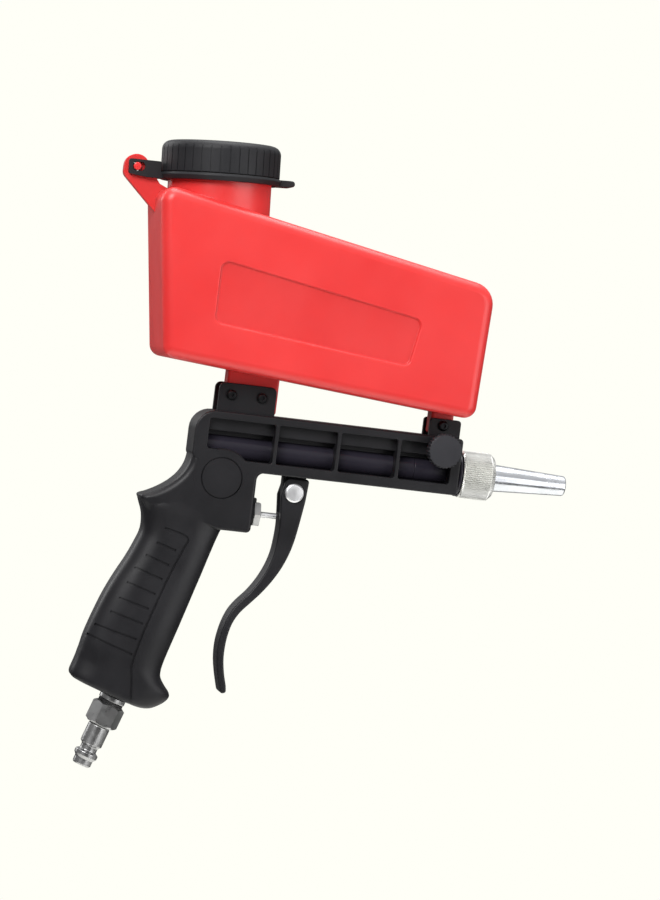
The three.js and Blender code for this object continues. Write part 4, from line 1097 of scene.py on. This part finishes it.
class BlastGunStage(bpy.types.PropertyGroup):
    """Camera and light."""
    azimuth: bpy.props.FloatProperty(name="Azimuth", description="Turn of the view towards the rear, degrees",
                                     default=11.3)
    elevation: bpy.props.FloatProperty(name="Elevation", description="Height of the view, degrees", default=1.8)
    roll: bpy.props.FloatProperty(name="Roll", description="Roll of the view, degrees", default=7.0)
    lens: bpy.props.FloatProperty(name="Lens", description="Focal length in millimetres", default=113.8)
    distance: bpy.props.FloatProperty(name="Distance", description="Distance of the camera", default=1.65,
                                      unit="LENGTH", subtype="DISTANCE")
    target: bpy.props.FloatVectorProperty(name="Target", description="Point in the middle of the view",
                                          default=(0.0985, 0.0, 0.099), size=3, subtype="XYZ", unit="LENGTH")
    sky: bpy.props.FloatProperty(name="Sky", description="Strength of the even light", default=0.8)
    key: bpy.props.FloatProperty(name="Key", description="Power of the key light", default=38, unit="POWER")
    fill: bpy.props.FloatProperty(name="Fill", description="Power of the fill light", default=20, unit="POWER")
    top: bpy.props.FloatProperty(name="Top", description="Power of the top light", default=24, unit="POWER")
    rim: bpy.props.FloatProperty(name="Rim", description="Power of the rear light", default=12, unit="POWER")


# ---------------------------------------------------------------- operators
class BLASTGUN_OT_materials(bpy.types.Operator):
    """Make the procedural finishes"""
    bl_idname = "blastgun.materials"
    bl_label = "Finishes"

    def execute(self, context):
        make_materials(context.scene.blastgun_colours)
        return {"FINISHED"}


class BLASTGUN_OT_hopper(bpy.types.Operator):
    """Build the hopper with its neck, leg, spout and hinge lug"""
    bl_idname = "blastgun.hopper"
    bl_label = "Hopper"

    def execute(self, context):
        build_hopper(context.scene.blastgun_sizes)
        return {"FINISHED"}


class BLASTGUN_OT_body(bpy.types.Operator):
    """Build the pistol body and the blank discs on its sides"""
    bl_idname = "blastgun.body"
    bl_label = "Pistol body"

    def execute(self, context):
        build_body(context.scene.blastgun_sizes)
        build_badges(context.scene.blastgun_sizes)
        return {"FINISHED"}


class BLASTGUN_OT_barrel(bpy.types.Operator):
    """Build the air pipe, the collar, the nozzle and its knurled nut"""
    bl_idname = "blastgun.barrel"
    bl_label = "Barrel"

    def execute(self, context):
        build_barrel()
        return {"FINISHED"}


class BLASTGUN_OT_sand_valve(bpy.types.Operator):
    """Build the sand valve knob and its clip"""
    bl_idname = "blastgun.sand_valve"
    bl_label = "Sand valve"

    def execute(self, context):
        build_sand_valve()
        return {"FINISHED"}


class BLASTGUN_OT_lid(bpy.types.Operator):
    """Build the screw lid, its hoop and the hinge pin"""
    bl_idname = "blastgun.lid"
    bl_label = "Lid"

    def execute(self, context):
        build_lid(context.scene.blastgun_sizes)
        return {"FINISHED"}


class BLASTGUN_OT_trigger(bpy.types.Operator):
    """Build the trigger lever, its pivot pin and clip"""
    bl_idname = "blastgun.trigger"
    bl_label = "Trigger"

    def execute(self, context):
        build_trigger(context.scene.blastgun_sizes)
        return {"FINISHED"}


class BLASTGUN_OT_valve(bpy.types.Operator):
    """Build the packing nut and the push stem of the air valve"""
    bl_idname = "blastgun.valve"
    bl_label = "Air valve"

    def execute(self, context):
        build_valve()
        return {"FINISHED"}


class BLASTGUN_OT_inlet(bpy.types.Operator):
    """Build the inlet bush, the hexagon adapter and the hose plug"""
    bl_idname = "blastgun.inlet"
    bl_label = "Air inlet"

    def execute(self, context):
        build_inlet()
        return {"FINISHED"}


class BLASTGUN_OT_screws(bpy.types.Operator):
    """Build the socket screws and nuts that hold the hopper"""
    bl_idname = "blastgun.screws"
    bl_label = "Screws"

    def execute(self, context):
        build_screws()
        return {"FINISHED"}


class BLASTGUN_OT_carried(bpy.types.Operator):
    """Give the seals and inner pieces of the frame their finishes"""
    bl_idname = "blastgun.carried"
    bl_label = "Seals and inner pieces"

    def execute(self, context):
        dress_carried()
        return {"FINISHED"}


class BLASTGUN_OT_stage(bpy.types.Operator):
    """Set the camera, the floor and the soft studio light"""
    bl_idname = "blastgun.stage"
    bl_label = "Stage"

    def execute(self, context):
        build_stage(context.scene.blastgun_stage)
        return {"FINISHED"}


GROUPS = {"blastgun_sizes": BlastGunSizes, "blastgun_colours": BlastGunColours,
          "blastgun_stage": BlastGunStage}
OPERATORS = [BLASTGUN_OT_materials, BLASTGUN_OT_hopper, BLASTGUN_OT_body, BLASTGUN_OT_barrel,
             BLASTGUN_OT_sand_valve, BLASTGUN_OT_lid, BLASTGUN_OT_trigger, BLASTGUN_OT_valve, BLASTGUN_OT_inlet,
             BLASTGUN_OT_screws, BLASTGUN_OT_carried, BLASTGUN_OT_stage]


class BLASTGUN_PT_panel(bpy.types.Panel):
    """Sizes, colours and one button for each group of pieces"""
    bl_idname = "BLASTGUN_PT_panel"
    bl_label = "Sandblasting gun"
    bl_space_type = "VIEW_3D"
    bl_region_type = "UI"
    bl_category = "Sandblasting gun"

    def draw(self, context):
        for group_name in GROUPS:
            group = getattr(context.scene, group_name)
            column = self.layout.column()
            for name in group.__annotations__:
                column.prop(group, name)
        for operator in OPERATORS:
            self.layout.operator(operator.bl_idname)


def register():
    """Registers the classes and hangs the groups on the scene."""
    for item in (*GROUPS.values(), *OPERATORS, BLASTGUN_PT_panel):
        bpy.utils.register_class(item)
    for name, group in GROUPS.items():
        setattr(bpy.types.Scene, name, bpy.props.PointerProperty(type=group))


def unregister():
    """Takes back what register did."""
    for name in GROUPS:
        delattr(bpy.types.Scene, name)
    for item in (BLASTGUN_PT_panel, *reversed(OPERATORS), *GROUPS.values()):
        bpy.utils.unregister_class(item)


def main():
    """Builds everything in order."""
    register()
    for operator in OPERATORS:
        group, name = operator.bl_idname.split(".")
        getattr(getattr(bpy.ops, group), name)()


if __name__ == "__main__":
    main()
